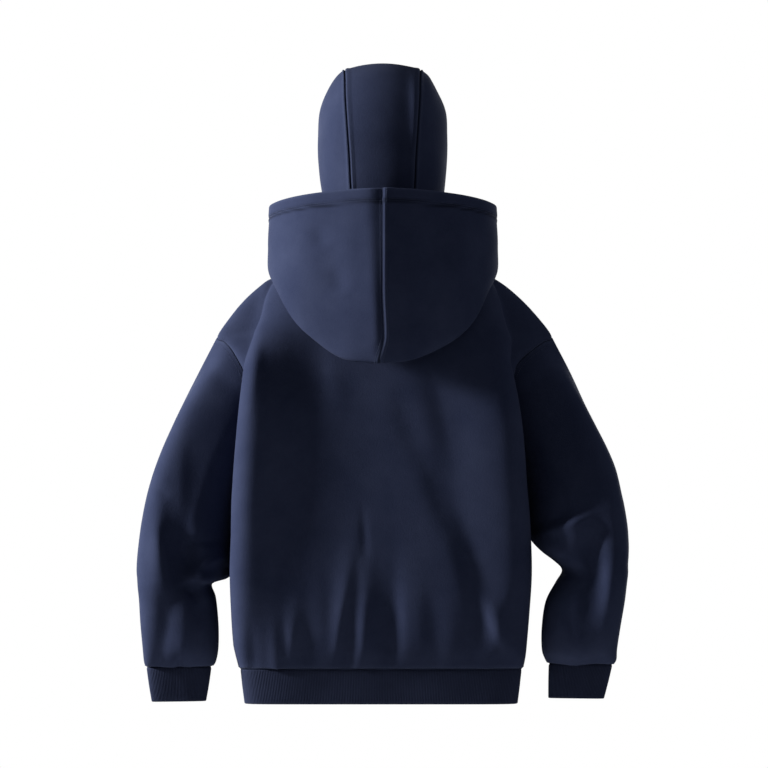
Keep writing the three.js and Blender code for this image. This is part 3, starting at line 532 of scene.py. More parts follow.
def stitching(name, lines, material):
    """Rows of machine stitches as one mesh, each row short of its line's ends. A stitch is a spindle
    that lies on the cloth and dips into it at both ends: five rings of four points."""
    along = np.array([-0.5, -0.32, 0, 0.32, 0.5])[:, None]
    swell = np.array([0.05, 0.8, 1, 0.8, 0.05])[:, None] * THREAD / 2
    rise = np.array([-0.3, 0.02, 0.12, 0.02, -0.3])[:, None]
    turn = np.arange(4) * np.pi / 2
    shape = np.stack([along * STITCH_LENGTH + 0 * turn, swell * np.cos(turn),
                      rise + swell * np.sin(turn)], -1).reshape(-1, 3)
    k, j = np.arange(4)[:, None] * 4, np.arange(4)[None]
    a, b = k + j, k + (j + 1) % 4
    sides = np.stack([a, b, b + 4, a, b + 4, a + 4], -1).reshape(-1, 3)
    verts = []
    for line, out in lines:
        run = run_of(line)
        spots = np.arange(SEAM_END, run[-1] - SEAM_END, STITCH_PITCH)
        at = points_at(spots, run, line)
        ahead = unit(points_at(spots + 1, run, line) - at)
        across = unit(np.cross(points_at(spots, run, out), ahead))
        axes = np.stack([ahead, across, np.cross(ahead, across)], 1)
        verts.append((at[:, None] + np.einsum("pk,nkc->npc", shape, axes)).reshape(-1, 3))
    verts = np.concatenate(verts)
    first = np.arange(len(verts) // len(shape))[:, None, None] * len(shape)
    return put(name, verts, (sides[None] + first).reshape(-1, 3), material)


def declare(node):
    """Hides the CAD node that a piece stands for."""
    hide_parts(node)


def sewing_thread():
    """Spun polyester thread, a shade paler than the fleece and a little smoother, so that the rows of
    stitches read as fine broken lines. Its two plies twist across it."""
    material, tree, shader = blank_material("sewing_thread", Roughness=0.6, Specular_IOR_Level=0.2)
    spot = add(tree, "TexCoord")
    twist = add(tree, "TexWave", {"Scale": 900, "Distortion": 1}, {"Vector": spot.outputs["Object"]},
                bands_direction="DIAGONAL")
    tone = add(tree, "Mix", {"A": paint("#2e354c"), "B": paint("#444d69")},
               {"Factor": twist.outputs["Fac"]}, data_type="RGBA")
    tree.links.new(tone.outputs["Result"], shader.inputs["Base Color"])
    return material


thread = sewing_thread()


def sew(piece, node, lines):
    stitches = stitching(piece.name + "_stitching", lines, thread)
    declare(node)


back, back_out = body_panel(back_rows, back_drapes, back_creases, 1)
front, front_out = body_panel(front_rows, front_drapes, front_creases, -1)
share_normals(back, back_out, "start", front, front_out, "end")
share_normals(back, back_out, "end", front, front_out, "start")
ARMHOLE_END = 0.4
at_armhole = ease(UNDERARM_ROW - ARMHOLE_END, UNDERARM_ROW, row_places)[:, None]
at_armhole = at_armhole * ease(SHOULDER_ROW + ARMHOLE_END, SHOULDER_ROW, row_places)[:, None]
for edge, side in (("start", 1), ("end", -1)):
    armhole_normals(back, back_out, edge, side, at_armhole)
    armhole_normals(front, front_out, edge, -side, at_armhole)
body_sewn = {"start": SEAM_DIP, "end": SEAM_DIP, "top": SEAM_DIP, "foot": RIB_SEAM_DIP}
back_panel = wall("back_body", back, back_out, FLEECE, (), body_sewn, fleece)
front_panel = wall("front_body", front, front_out, FLEECE, (), body_sewn, fleece)
back_lines = [sewn_line(back, back_out, "foot", STITCHED_AT)]
front_lines = [sewn_line(front, front_out, "foot", STITCHED_AT)]
sew(back_panel, "back_panel", back_lines)
sew(front_panel, "front_panel", front_lines)


# The sleeves are one piece of fleece each, sewn in a tube under the arm and set into the armhole.
# They hang bent, and the cloth gathers in a deep hollow at the elbow.
ARMHOLE_REACH = 2.4
SLEEVE_BACK_ROUND, SLEEVE_FRONT_ROUND, SLEEVE_INNER_ROUND = 5.5, 3.2, 2.3
# The share of the folds that the hidden front of a sleeve has.
HIDDEN_SHARE = 0.6
# How far a sleeve runs on into the armhole, and a band on under what it is sewn to.
SEAM_TUCK = 1.2
# The spacing of a sleeve's rings is measured along its back, and each ring has this many points.
SLEEVE_STEP, ALONG_BACK, SLEEVE_POINTS = 3.8, 1.2, 128
# The rows of stitches: one beside the cuff seam, and a pair beside the armhole.
SLEEVE_LINES = (("foot", STITCHED_AT), ("top", 3.4), ("top", 9.4))
sleeve_columns = "outerX outerZ innerX innerZ back front innerY innerRound"
sleeve_rings = {
    1: table(sleeve_columns, [
        [259, -135, 204, -362, 36, -66, -15, 2.3],
        [285, -189, 212, -373, 40, -76, -18, 2.2],
        [312, -245, 216, -385, 45, -80, -18, 2],
        [339, -307, 217, -399, 51, -82, -17, 1.8],
        [359, -366, 219, -416, 58, -80, -15, 1.7],
        [371, -418, 222, -438, 66, -76, -13, 1.6],
        [377, -462, 226, -463, 74, -71, -10, 1.6],
        [379, -492, 231, -490, 80, -67, -6, 1.7],
        [378, -508, 237, -507, 83, -64, -2, 1.8],
        [377, -522, 263, -516, 84, -61, 10, 2.3],
        [375, -541, 257, -538, 84, -58, 13, 2.3],
        [373, -576, 253, -578, 80, -54, 13, 2.3],
        [370, -612, 253, -615, 68, -45, 12, 2.3],
        [368, -636, 257, -637, 52, -32, 10, 2.3],
        [365, -646, 263, -646, 40, -16, 12, 2.3],
    ]),
    -1: table(sleeve_columns, [
        [259, -135, 204, -362, 36, -66, -15, 2.3],
        [290, -189, 208, -373, 50, -72, -16, 2],
        [317, -245, 209, -385, 66, -72, -15, 1.7],
        [345, -307, 210, -398, 82, -68, -14, 1.5],
        [366, -366, 214, -414, 96, -63, -12, 1.5],
        [377, -418, 221, -432, 105, -59, -8, 1.5],
        [380, -450, 230, -448, 108, -56, -2, 1.7],
        [380, -470, 247, -466, 109, -54, 14, 2.1],
        [379, -485, 266, -481, 109, -52, 24, 2.3],
        [379, -499, 278, -495, 109, -50, 28, 2.3],
        [377, -517, 268, -514, 108, -48, 29, 2.3],
        [374, -543, 253, -543, 104, -45, 28, 2.3],
        [368, -580, 247, -582, 94, -42, 25, 2.3],
        [363, -615, 247, -617, 80, -34, 22, 2.3],
        [362, -633, 252, -633, 63, -20, 20, 2.3],
        [357, -642, 257, -641, 46, -8, 19, 2.3],
    ]),
}
sleeve_drapes = {
    1: table(drape_columns, [
        [305, -476, 46, 20, 22, 0, -14],
        [347, -470, 75, 14, 13, -2, 7],
        [248, -480, 26, 14, 14, 0, 6],
        [282, -504, 22, 10, 10, 60, 6],
        [288, -526, 18, 12, 12, 70, -6],
        [304, -612, 30, 20, 20, 0, 5],
        [336, -600, 45, 12, 12, -6, -4],
        [250, -190, 60, 16, 16, 52, -4],
    ]),
    -1: table(drape_columns, [
        [320, -494, 70, 18, 26, 8, -14],
        [284, -426, 60, 30, 12, 69, 9],
        [352, -500, 70, 14, 12, 6, 4],
        [300, -608, 30, 22, 20, 0, 5],
        [250, -190, 60, 16, 16, 52, -4],
    ]),
}
sleeve_creases = {
    1: table(crease_columns, [
        [352, -412, 332, -566, -8, 12, 7, 5.0],
        [294, -436, 288, -520, 0, 15, 14, -5.5],
        [316, -452, 226, -454, -2, 7, 9, -3.6],
        [306, -506, 228, -468, -4, 6, 6, 4.2],
        [280, -500, 264, -556, 0, 6, 7, 3.6],
        [290, -505, 274, -590, 0, 12, 10, -4.0],
        [250, -500, 232, -486, 0, 6, 6, -2.6],
        [308, -512, 300, -660, -3, 34, 12, 3.2],
        [338, -540, 330, -668, 0, 14, 14, 3.0],
        [313, -616, 311, -665, 0, 4, 4, -2.8],
        [352, -362, 326, -386, 0, 7, 7, -1.6],
        [316, -260, 312, -450, 0, 56, 16, 3.0],
    ]),
    -1: table(crease_columns, [
        [234, -440, 336, -398, -8, 8, 7, 3.0],
        [358, -230, 352, -440, 0, 12, 40, 5.5],
        [250, -444, 282, -480, 4, 12, 8, 2.6],
        [350, -420, 344, -530, -6, 8, 12, 2.6],
        [334, -436, 320, -590, 0, 15, 30, -4.4],
        [354, -500, 290, -580, -10, 9, 9, 1.4],
        [262, -520, 256, -600, 4, 6, 7, -1.6],
        [300, -570, 292, -670, 0, 18, 14, 2.4],
        [338, -590, 330, -670, 0, 10, 10, -2.0],
    ]),
}


def ring_point(ring, turn):
    """A ring of the sleeve: a superellipse between its outer and inner points. turn 0 is the outer
    end, a quarter turn is the back, which is the squarest, and half a turn the inner end."""
    inner, behind = np.cos(turn) < 0, np.sin(turn) > 0
    outer_round = np.where(behind, SLEEVE_BACK_ROUND, SLEEVE_FRONT_ROUND)
    inner_round = np.where(behind, ring["innerRound"], SLEEVE_INNER_ROUND)
    c, s = square_arc(turn, np.where(inner, inner_round, outer_round))
    outwards = (1 + c) / 2
    middle_y = mix(ring["innerY"], (ring["back"] + ring["front"]) / 2, outwards)
    return np.stack([
        mix(ring["innerX"], ring["outerX"], outwards),
        mix(middle_y, np.where(behind, ring["back"], ring["front"]), np.abs(s)),
        mix(ring["innerZ"], ring["outerZ"], outwards),
    ], -1)


def side_point(rings, place, turn, side):
    """A point of a ring that is read between the table's rows, mirrored for the right sleeve."""
    ring = {name: read(values, place) for name, values in rings.items()}
    return ring_point(ring, turn) * [side, 1, 1]


def armhole_point(turn, side):
    """Half of the armhole is the outer edge of the back, and half that of the front."""
    share = np.where(turn <= np.pi, turn / np.pi, 2 - turn / np.pi)
    row = mix(SHOULDER_ROW, UNDERARM_ROW, share)
    edge = np.where((turn <= np.pi)[..., None],
                    body_point(back_rows, row, 1), body_point(front_rows, row, 1))
    return placed(edge, side)


def sleeve_point(side, place, turn):
    """A ring's point, bowed at the top to follow the armhole."""
    rings = sleeve_rings[side]
    place, turn = np.broadcast_arrays(np.asarray(place, float), np.asarray(turn, float))
    hold = np.maximum(1 - place / ARMHOLE_REACH, 0)[..., None] ** 2
    bow = armhole_point(turn, side) - side_point(rings, np.zeros_like(place), turn, side)
    return side_point(rings, place, turn, side) + bow * hold


def sleeve(name, side):
    """A sleeve's grid of rings, from the cuff seam to the armhole, moved out by its drapes and
    creases, its normals and its wall. The relief fades to nothing on the sleeve's two narrow edges."""
    last = len(sleeve_rings[side]["back"]) - 1
    along = spread(lambda p: sleeve_point(side, p, np.full_like(p, ALONG_BACK)), last, SLEEVE_STEP)
    place = along[::-1, None]
    turn = np.linspace(0, 2 * np.pi, SLEEVE_POINTS + 1)[None, :-1]
    turn = turn if side > 0 else turn[:, ::-1]
    points = sleeve_point(side, place, turn)
    points[-1] -= SEAM_TUCK * unit(points[-3] - points[-1])
    facing = np.sin(turn)
    share = np.sqrt(np.abs(facing)) * np.where(facing < 0, HIDDEN_SHARE, 1)
    free = np.clip(np.minimum(place, last - place), 0, 1)
    held = ease(0, 0.25, place) * ease(0, 0.2, last - place)
    across, z = np.abs(points[..., 0]), points[..., 2]
    lift = drape_lift(sleeve_drapes[side], across, z) * free * share
    lift = lift + crease_lift(sleeve_creases[side], across, z) * held * share
    points = points + normals_of(points, True) * lift[..., None]
    out = normals_of(points, True)
    armhole_normals(points, out, "top", side, np.ones_like(place))
    sewn = {"foot": RIB_SEAM_DIP, "top": SEAM_DIP}
    piece = wall(name, points, out, FLEECE, (), sewn, fleece, True)
    return points, out, piece


sleeve_left_grid, sleeve_left_out, sleeve_left = sleeve("left_sleeve", 1)
sleeve_right_grid, sleeve_right_out, sleeve_right = sleeve("right_sleeve", -1)
for tube, node, grid, out in ((sleeve_left, "sleeve_left", sleeve_left_grid, sleeve_left_out),
                              (sleeve_right, "sleeve_right", sleeve_right_grid, sleeve_right_out)):
    lines = [sewn_line(grid, out, edge, apart) for edge, apart in SLEEVE_LINES]
    sew(tube, node, lines)


# The inner hood is three pieces of fleece: two sides and a crown strip between them, from the nape
# to the brow. Each seam is turned and stitched down on both sides, which leaves a low ridge.
HOOD_LAST = 10
# How far, in degrees, a side turns from the cheek to the face edge, and to the crown seam.
FACE_CORNER, CROWN_CORNER = 75, 58
HEAD_MIDDLE = np.array([0, -10, 130.0])
THROAT_TURN, CROWN_TURN, NECK_REACH = 177, 21, 1.8
# How far inside the outer hood's seam the inner hood is sewn, and how far above it.
HOOD_INSET, HOOD_RAISE = FLEECE + 0.35, 0.1
# The spacing of the points, measured on the middle row, and the ridges beside the seams: how high
# they are, how far from the seam they rise, and where they fall.
HOOD_STEP, CROWN_STEP, MIDDLE_ROW = 3.6, 3.2, 5.0
RIDGE, RIDGE_RISE, RIDGE_FALL = 1.1, 1.6, (5.2, 7.2)
HOOD_SLACK = 0.9
inner_hood_rows = table("faceX faceY faceZ sideX sideY sideZ seamX seamY seamZ", [
    [3, -71, -79, 72, 4, 1, 42, 50, -8],
    [15, -82, -48, 77, 3, 32, 44, 64, 27],
    [34, -93, -2, 87, 1, 62, 46, 77, 62],
    [50, -100, 48, 96, 0, 96, 49, 88, 98],
    [62, -103, 98, 100, -2, 140, 51, 95, 140],
    [69, -103, 143, 100, -6, 178, 54, 97, 184],
    [73, -102, 178, 98, -12, 212, 57, 84, 230],
    [74, -102, 206, 86, -24, 242, 58, 54, 263],
    [71, -103, 216, 73, -48, 261, 59, 4, 279],
    [68, -105, 226, 65, -86, 258, 58, -70, 270],
    [65, -106, 234, 62, -106, 247, 56, -106, 257],
])
crown_arch = np.array([9, 7, 8, 11, 10, 9], float)


def neck_point(turn):
    """The neck seam, by the angle round from the nape: the top rows of the back and the front."""
    out = np.where(turn <= 90, turn, 180 - turn) / 90
    row = np.full_like(out, NECK_ROW)
    return np.where((turn <= 90)[..., None],
                    body_point(back_rows, row, out), body_point(front_rows, row, out))


def side_of_head(row, share):
    """Two arcs that meet at the side of the head: one to the face edge, share 0, and one to the
    crown seam, share 1."""
    face, side, seam = (read_point(inner_hood_rows, name, row) for name in ("face", "side", "seam"))
    near = (share < 0.5)[..., None]
    corner = np.radians(np.where(share < 0.5, FACE_CORNER, CROWN_CORNER))
    angle = corner * np.abs(share - 0.5) * 2
    run = (np.sin(angle) / np.sin(corner))[..., None]
    drop = ((1 - np.cos(angle)) / (1 - np.cos(corner)))[..., None]
    return mix(side, np.where(near, face, seam), np.concatenate([drop, run, run], -1))


def crown_of_head(row, across):
    """The crown strip: straight from seam to seam, arched away from the middle of the head."""
    seam = side_of_head(row, np.ones_like(row))
    away = unit(seam * [0, 1, 1] - HEAD_MIDDLE)
    arch = read(crown_arch, row / HOOD_LAST * (len(crown_arch) - 1)) * (1 - across ** 2)
    return seam * np.stack([across, np.ones_like(row), np.ones_like(row)], -1) + away * arch[..., None]


def held_at_neck(point_at, row, share, turn):
    """Brings the lowest rows of a piece to the neck seam, just inside the outer hood."""
    seam = neck_point(np.abs(turn))
    seam = seam - unit(seam * [1, 1, 0]) * HOOD_INSET + [0, 0, HOOD_RAISE]
    seam[..., 0] *= np.where(turn < 0, -1, 1)
    hold = np.maximum(1 - row / NECK_REACH, 0)[..., None] ** 2
    return point_at(row, share) + (seam - point_at(np.zeros_like(row), share)) * hold


def hood_side_point(row, share):
    """A side of the hood: its lowest row goes round the neck from the throat to the crown seam."""
    far = np.where(share < 0.5, THROAT_TURN, CROWN_TURN)
    return held_at_neck(side_of_head, row, share, mix(90, far, np.abs(share - 0.5) * 2))


hood_places = spread(lambda row: side_of_head(row, np.ones_like(row)), HOOD_LAST, HOOD_STEP)[:, None]
hood_shares = spread(lambda s: side_of_head(np.full_like(s, MIDDLE_ROW), s), 1, HOOD_STEP)[None]
crown_shares = spread(lambda s: crown_of_head(np.full_like(s, MIDDLE_ROW), 1 - 2 * s), 1, CROWN_STEP)
crown_across = 1 - 2 * crown_shares[None]
crown_creases = table(crease_columns, [
    [-56, 90, -50, 300, 0, 70, 9, 4.5],
    [-10, 40, -44, 190, 0, 26, 30, 1.5],
    [30, 20, 4, 110, 0, 14, 22, -1.2],
])


def hood_relief(points, sewn, side):
    """The stitched-down seams stand proud on each side. Between them a side panel, side 1 or -1, is
    slack in shallow waves, and the crown strip, side 0, has soft creases."""
    runs = edge_runs(points)
    ridge = sum(RIDGE * ease(0, RIDGE_RISE, runs[edge]) * (1 - ease(*RIDGE_FALL, runs[edge]))
                for edge in sewn)
    x, z = points[..., 0], points[..., 2]
    if side == 0:
        lift = crease_lift(crown_creases, x, z) * (points[..., 1] > 0)
        return ridge + lift * ease(0, SEAM_REACH, np.minimum(runs["start"], runs["end"]))
    slack = HOOD_SLACK * np.sin(z / 23 + 0.6 * side) * np.sin(runs["start"] / 17 + z / 70)
    inside = ease(8, 30, np.minimum(runs["start"], runs["end"])) * ease(20, 70, runs["foot"])
    return ridge + slack * inside


def hood_piece(points, sewn, side):
    """A grid of the hood, moved out along its normals by its relief."""
    return points + normals_of(points) * hood_relief(points, sewn, side)[..., None]


row, share = np.broadcast_arrays(hood_places, hood_shares)
hood_left = hood_piece(placed(hood_side_point(row, share), 1), ("end",), 1)
hood_right = hood_piece(placed(hood_side_point(row, share), -1)[:, ::-1], ("start",), -1)
row, across = np.broadcast_arrays(hood_places, crown_across)
turn = CROWN_TURN * across
crown = hood_piece(placed(held_at_neck(crown_of_head, row, across, turn), 1), ("start", "end"), 0)
hood_left_out, hood_right_out, crown_out = (normals_of(p) for p in (hood_left, hood_right, crown))
share_normals(hood_left, hood_left_out, "end", crown, crown_out, "start")
share_normals(hood_right, hood_right_out, "start", crown, crown_out, "end")
inner_left = wall("inner_hood_left_side", hood_left, hood_left_out, FLEECE,
                  ("start", "top"), {"end": SEAM_DIP, "foot": SEAM_DIP}, fleece)
inner_right = wall("inner_hood_right_side", hood_right, hood_right_out, FLEECE,
                   ("end", "top"), {"start": SEAM_DIP, "foot": SEAM_DIP}, fleece)
inner_crown = wall("inner_hood_crown_strip", crown, crown_out, FLEECE,
                   ("top",), {"start": SEAM_DIP, "end": SEAM_DIP, "foot": SEAM_DIP}, fleece)
for panel, node, grid, out, seams, flat, area in (
        (inner_left, "inner_hood_left", hood_left, hood_left_out, ("end",), (0.23, 0.42), 0.063),
        (inner_right, "inner_hood_right", hood_right, hood_right_out, ("start",), (0.23, 0.42), 0.063),
        (inner_crown, "inner_hood_crown", crown, crown_out, ("start", "end"), (0.12, 0.48), 0.052)):
    sew(panel, node, [sewn_line(grid, out, seam, STITCHED_AT) for seam in seams])


# The outer hood is two halves of fleece joined down the middle, sewn in at the neck and thrown back:
# it hangs as an open bag, and its edge is turned in 22 mm and stitched down with two needles.
RIM_HEM = 22
# The needle lines are 2 and 5 mm inside the hem's raw edge, with a groove between them.
NEEDLES, GROOVE = (2, 5), 3.5
ROLL_HEIGHT, ROLL_SHARE, BAG_RAISE = 12, 0.35, 0.15
# The spacing of the points is measured near the rim, and near the middle column.
BAG_STEP, NEAR_RIM, NEAR_MIDDLE = 3.7, 0.85, 1.0
# The trough is on the outer face, which begins between two shares of the bag's height. On each half
# it has a depth and a width, and on the left half the width grows between two heights.
OUTER_FACE = (0.62, 0.72)
LEFT_TROUGH, LEFT_WIDE, LEFT_HEIGHTS = -7.5, (9, 15), (-130, 80)
RIGHT_TROUGH, RIGHT_WIDE = -2.4, 2.6
HEM_RISE, GROOVE_DEPTH, GROOVE_WIDE = 1.5, 2.0, 2.2
outer_hood_columns = table(
    "turn underX underY underZ footX footY footZ outX outY outZ edgeX edgeY edgeZ", [
        [0, 0, 124, -84, 0, 156, -177, 0, 190, -58, 0, 168, 92.5],
        [27, 52, 114, -80, 62, 138, -167, 66, 161, -54, 62, 146, 89],
        [52, 98, 92, -58, 129, 112, -122, 131, 126, -34, 124, 112, 82],
        [74, 126, 52, -19, 163, 74, -62, 169, 76, -8, 164, 62, 73],
        [92, 126, 8, -8, 172, 18, -36, 177, 20, 6, 174, 15, 63],
        [114, 106, -40, -28, 148, -54, -46, 158, -52, -8, 151, -44, 38],
        [138, 76, -84, -58, 100, -104, -68, 107, -104, -38, 100, -98, -2],
        [160, 40, -94, -80, 50, -112, -88, 52, -115, -70, 47, -110, -50],
        [176, 8, -88, -88, 10, -98, -94, 10, -103, -86, 9, -101, -74],
    ])
bag_creases = {
    1: table(crease_columns, [
        [102, 44, 90, -4, 0, 12, 14, -2.2],
        [76, -24, 58, -72, 0, 14, 13, -2.0],
        [122, 30, 104, -80, -4, 24, 22, 1.6],
        [60, 60, 44, -60, 0, 20, 18, 1.2],
    ]),
    -1: table(crease_columns, [
        [-96, 60, -80, -40, 4, 22, 20, -1.6],
        [-58, -10, -46, -110, 4, 20, 20, 1.6],
        [-130, 50, -112, -60, -6, 18, 18, 1.4],
    ]),
}


def bag_point(column, height):
    """A Catmull-Rom curve that rolls over the neck seam, goes down the underside, round the foot
    and up the outer face to the hemmed edge."""
    column, height = np.broadcast_arrays(np.asarray(column, float), np.asarray(height, float))
    c = outer_hood_columns
    start = neck_point(read(c["turn"], column))
    under, foot, out, edge = (read_point(c, name, column) for name in ("under", "foot", "out", "edge"))
    roll = mix(start, under, ROLL_SHARE)
    roll[..., 2] = start[..., 2] + ROLL_HEIGHT
    start = start + [0, 0, BAG_RAISE]
    stops = np.stack([start, roll, under, foot, out, edge])
    return np.stack([read(stops[..., k], height * 5) for k in range(3)], -1)


bag_last = len(outer_hood_columns["turn"]) - 1
bag_columns = spread(lambda c: bag_point(c, np.full_like(c, NEAR_RIM)), bag_last, BAG_STEP)[None]
bag_heights = spread(lambda h: bag_point(np.full_like(h, NEAR_MIDDLE), h), 1, BAG_STEP)[:, None]


def bag_half(side):
    """One half's grid. Beside the centre seam the left half sinks in a broad trough that narrows
    downwards, and the right half in a narrow one. The hem stands proud, with a groove in it."""
    columns = bag_columns[:, ::-1] if side > 0 else bag_columns
    points = placed(bag_point(columns, bag_heights), side)
    seam = "end" if side > 0 else "start"
    runs = edge_runs(points)
    x, z = points[..., 0], points[..., 2]
    outside = ease(*OUTER_FACE, bag_heights)
    wide = mix(*LEFT_WIDE, ease(*LEFT_HEIGHTS, z)) if side > 0 else RIGHT_WIDE
    trough = (LEFT_TROUGH if side > 0 else RIGHT_TROUGH) * np.exp(-(runs[seam] / wide) ** 2)
    hem = HEM_RISE * (1 - ease(RIM_HEM - 1, RIM_HEM + 2, runs["top"])) * ease(0, 12, runs[seam])
    groove = -GROOVE_DEPTH * np.exp(-((runs["top"] - RIM_HEM + GROOVE) / GROOVE_WIDE) ** 2)
    lift = (trough + crease_lift(bag_creases[side], x, z)) * outside + hem + groove
    return points + normals_of(points) * lift[..., None]


bag_left, bag_right = bag_half(1), bag_half(-1)
bag_left_out, bag_right_out = normals_of(bag_left), normals_of(bag_right)
share_normals(bag_left, bag_left_out, "end", bag_right, bag_right_out, "start")


def rim_pressed_and_shaded(points):
    """Painted shade on the hem: darker between the two needle lines, which also pull it flat, and a painted
    shadow line beside its raw edge.
    """
    top = edge_runs(points)["top"] - RIM_HEM
    return np.maximum(0.8 * np.exp(-((top + GROOVE) / 1.5) ** 2), np.exp(-((top - 1) / 1.6) ** 2))


def bag_thickness(points):
    """The hem is nearly twice as thick, where the cloth is turned in."""
    return FLEECE * (1 + 0.8 * (1 - ease(RIM_HEM - 1, RIM_HEM + 1, edge_runs(points)["top"])))


# The hem's groove and the line beside its raw edge are painted shade.
outer_left = wall("outer_hood_left_half", bag_left, bag_left_out, bag_thickness(bag_left),
                  ("top", "start"), {"end": SEAM_DIP, "foot": SEAM_DIP}, fleece,
                  pressed_and_shaded=rim_pressed_and_shaded(bag_left))
outer_right = wall("outer_hood_right_half", bag_right, bag_right_out, bag_thickness(bag_right),
                   ("top", "end"), {"start": SEAM_DIP, "foot": SEAM_DIP}, fleece,
                   pressed_and_shaded=rim_pressed_and_shaded(bag_right))
# The stitches beside the centre seam are on the outer face alone, the last points of their line.
CENTRE_AT, OUTER_POINTS = 7, 90
for half, node, grid, out, seam in ((outer_left, "outer_hood_left", bag_left, bag_left_out, "end"),
                                    (outer_right, "outer_hood_right", bag_right, bag_right_out, "start")):
    lines = [sewn_line(grid, out, "top", RIM_HEM - inside) for inside in NEEDLES]
    lines.append([points[-OUTER_POINTS:] for points in sewn_line(grid, out, seam, CENTRE_AT)])
    sew(half, node, lines)


# The cuffs and the hem band are rib knit folded double: each is sewn on by its raw edges, and its
# fold is the garment's edge. The ribs are 2.5 mm apart, and draw the cloth in.
RIB_KNIT = 3.2
RIB_PITCH, RIB_HEIGHT = 2.5, 0.55
# Points around each rib, of a cuff and of the hem band, and how far the band waves in and out.
CUFF_FINE, HEM_FINE, RIB_SLACK = 6, 5, 0.7
HEM_DEPTH, HEM_TOP_SHARE, HEM_FOOT_SHARE = 53, 0.991, 0.962
CUFF_INSET, CUFF_POINTS = 0.985, 720
cuff_ends = {
    1: dict(outerX=356, outerZ=-699, innerX=272, innerZ=-698, back=33, front=3),
    -1: dict(outerX=343, outerZ=-694, innerX=257, innerZ=-693, back=38, front=8),
}


def rib_knit():
    """A 1x1 rib: its ridges are in the mesh, and each is a column of small stitches 1.5 mm high.
    The grooves are painted darker than the ridges: painted shade."""
    material, tree, shader = blank_material(
        "rib_knit", Roughness=0.92, Specular_IOR_Level=0.06, Sheen_Weight=0.03,
        Sheen_Roughness=0.45, Sheen_Tint=paint("#8c97b8"))
    spot = add(tree, "TexCoord")
    cloth = add(tree, "UVMap", uv_map="cloth")
    rows = add(tree, "TexWave", {"Scale": 209, "Distortion": 0.8, "Detail": 1},
               {"Vector": cloth.outputs["UV"]}, bands_direction="Y")
    nap = add(tree, "TexNoise", {"Scale": 500, "Detail": 3}, {"Vector": spot.outputs["Object"]})
    clouds = add(tree, "TexNoise", {"Scale": 18, "Detail": 3}, {"Vector": spot.outputs["Object"]})
    worn_and_groove_shade = add(tree, "Attribute", attribute_name="worn_and_groove_shade")
    # The grooves between the ribs are painted darker, as painted shade.
    dye_and_groove_shade = add(tree, "Mix", {"A": paint("#1c2031"), "B": paint("#2b3147")},
              {"Factor": worn_and_groove_shade.outputs["Fac"]}, data_type="RGBA")
    fleck = add(tree, "Math", {1: 0.4}, {0: clouds.outputs["Fac"]}, operation="MULTIPLY")
    shade = add(tree, "Mix", {"B": paint("#333a52")},
                {"A": dye_and_groove_shade.outputs["Result"], "Factor": fleck.outputs["Value"]}, data_type="RGBA")
    relief = add(tree, "Bump", {"Strength": 0.4, "Distance": 0.0002}, {"Height": nap.outputs["Fac"]})
    relief = add(tree, "Bump", {"Strength": 0.5, "Distance": 0.0002},
                 {"Height": rows.outputs["Fac"], "Normal": relief.outputs["Normal"]})
    tree.links.new(shade.outputs["Result"], shader.inputs["Base Color"])
    tree.links.new(relief.outputs["Normal"], shader.inputs["Normal"])
    return material


rib = rib_knit()


def closed_line(points):
    """A closed line's points, the first one again at the end, and how far round it each lies."""
    loop = np.concatenate([points, points[:1]])
    return loop, run_of(loop)


def ribbed_band(name, foot_line, top_line, samples):
    """A band from a closed foot line to a closed top line, whose points lie below each other. Its
    outer face waves in and out by the rib's height, a cosine of the distance round the top line,
    and fades flat at the seam. samples: how many points each rib has round the band."""
    top_loop, run = closed_line(top_line)
    foot_loop = closed_line(foot_line)[0]
    length = run[-1]
    ribs = int(round(length / RIB_PITCH))
    places = np.arange(ribs * samples) / (ribs * samples)
    foot, top = (points_at(places * length, run, loop) for loop in (foot_loop, top_loop))
    depth = np.linalg.norm(top - foot, axis=1).mean()
    fine = np.array([0, 0.15, 0.5, 1.0, 1.6, 2.4])
    height = np.concatenate([fine, np.linspace(6, depth - 4, 5), depth - np.array([2.2, 1, 0])])
    height = (height / depth)[:, None, None]
    points = mix(foot[None], top[None], height)
    wave = 0.5 + 0.5 * np.cos(2 * np.pi * places * ribs)[None]
    grip = ease(0, 3, (1 - height[..., 0]) * depth)
    out = normals_of(points, True)
    slack = RIB_SLACK * np.sin(places * length / 19)[None] * np.sin(np.pi * height[..., 0])
    lift = -RIB_HEIGHT * (1 - wave) * grip + slack
    ridged = points + out * lift[..., None]
    thick = RIB_KNIT - RIB_HEIGHT * (1 - wave)
    piece = wall(name, ridged, out, thick, ("foot",), {"top": SEAM_DIP}, rib, True)
    # The mark is 1 on a rib's ridge and 0 in its groove, which gets the painted shade.
    worn_and_groove_shade = np.concatenate([(wave * np.ones_like(grip)).ravel()] * 2)
    piece.data.attributes["worn_and_groove_shade"].data.foreach_set("value", worn_and_groove_shade.astype(np.float32))
    return piece


def cuff(name, side):
    """A cuff, from the sleeve's last ring, drawn in a little, to a flatter ring at its foot."""
    rings = sleeve_rings[side]
    turn = np.linspace(0, 2 * np.pi, CUFF_POINTS + 1)[:-1][::side]
    last = np.full_like(turn, len(rings["back"]) - 1)
    top = side_point(rings, last, turn, side)
    end = cuff_ends[side]
    shape = dict(innerY=(end["back"] + end["front"]) / 2, innerRound=SLEEVE_INNER_ROUND)
    foot = ring_point({**end, **shape}, turn) * [side, 1, 1]
    middle = top.mean(0)
    top = middle + (top - middle) * CUFF_INSET + [0, 0, SEAM_TUCK]
    return ribbed_band(name, foot, top, CUFF_FINE)


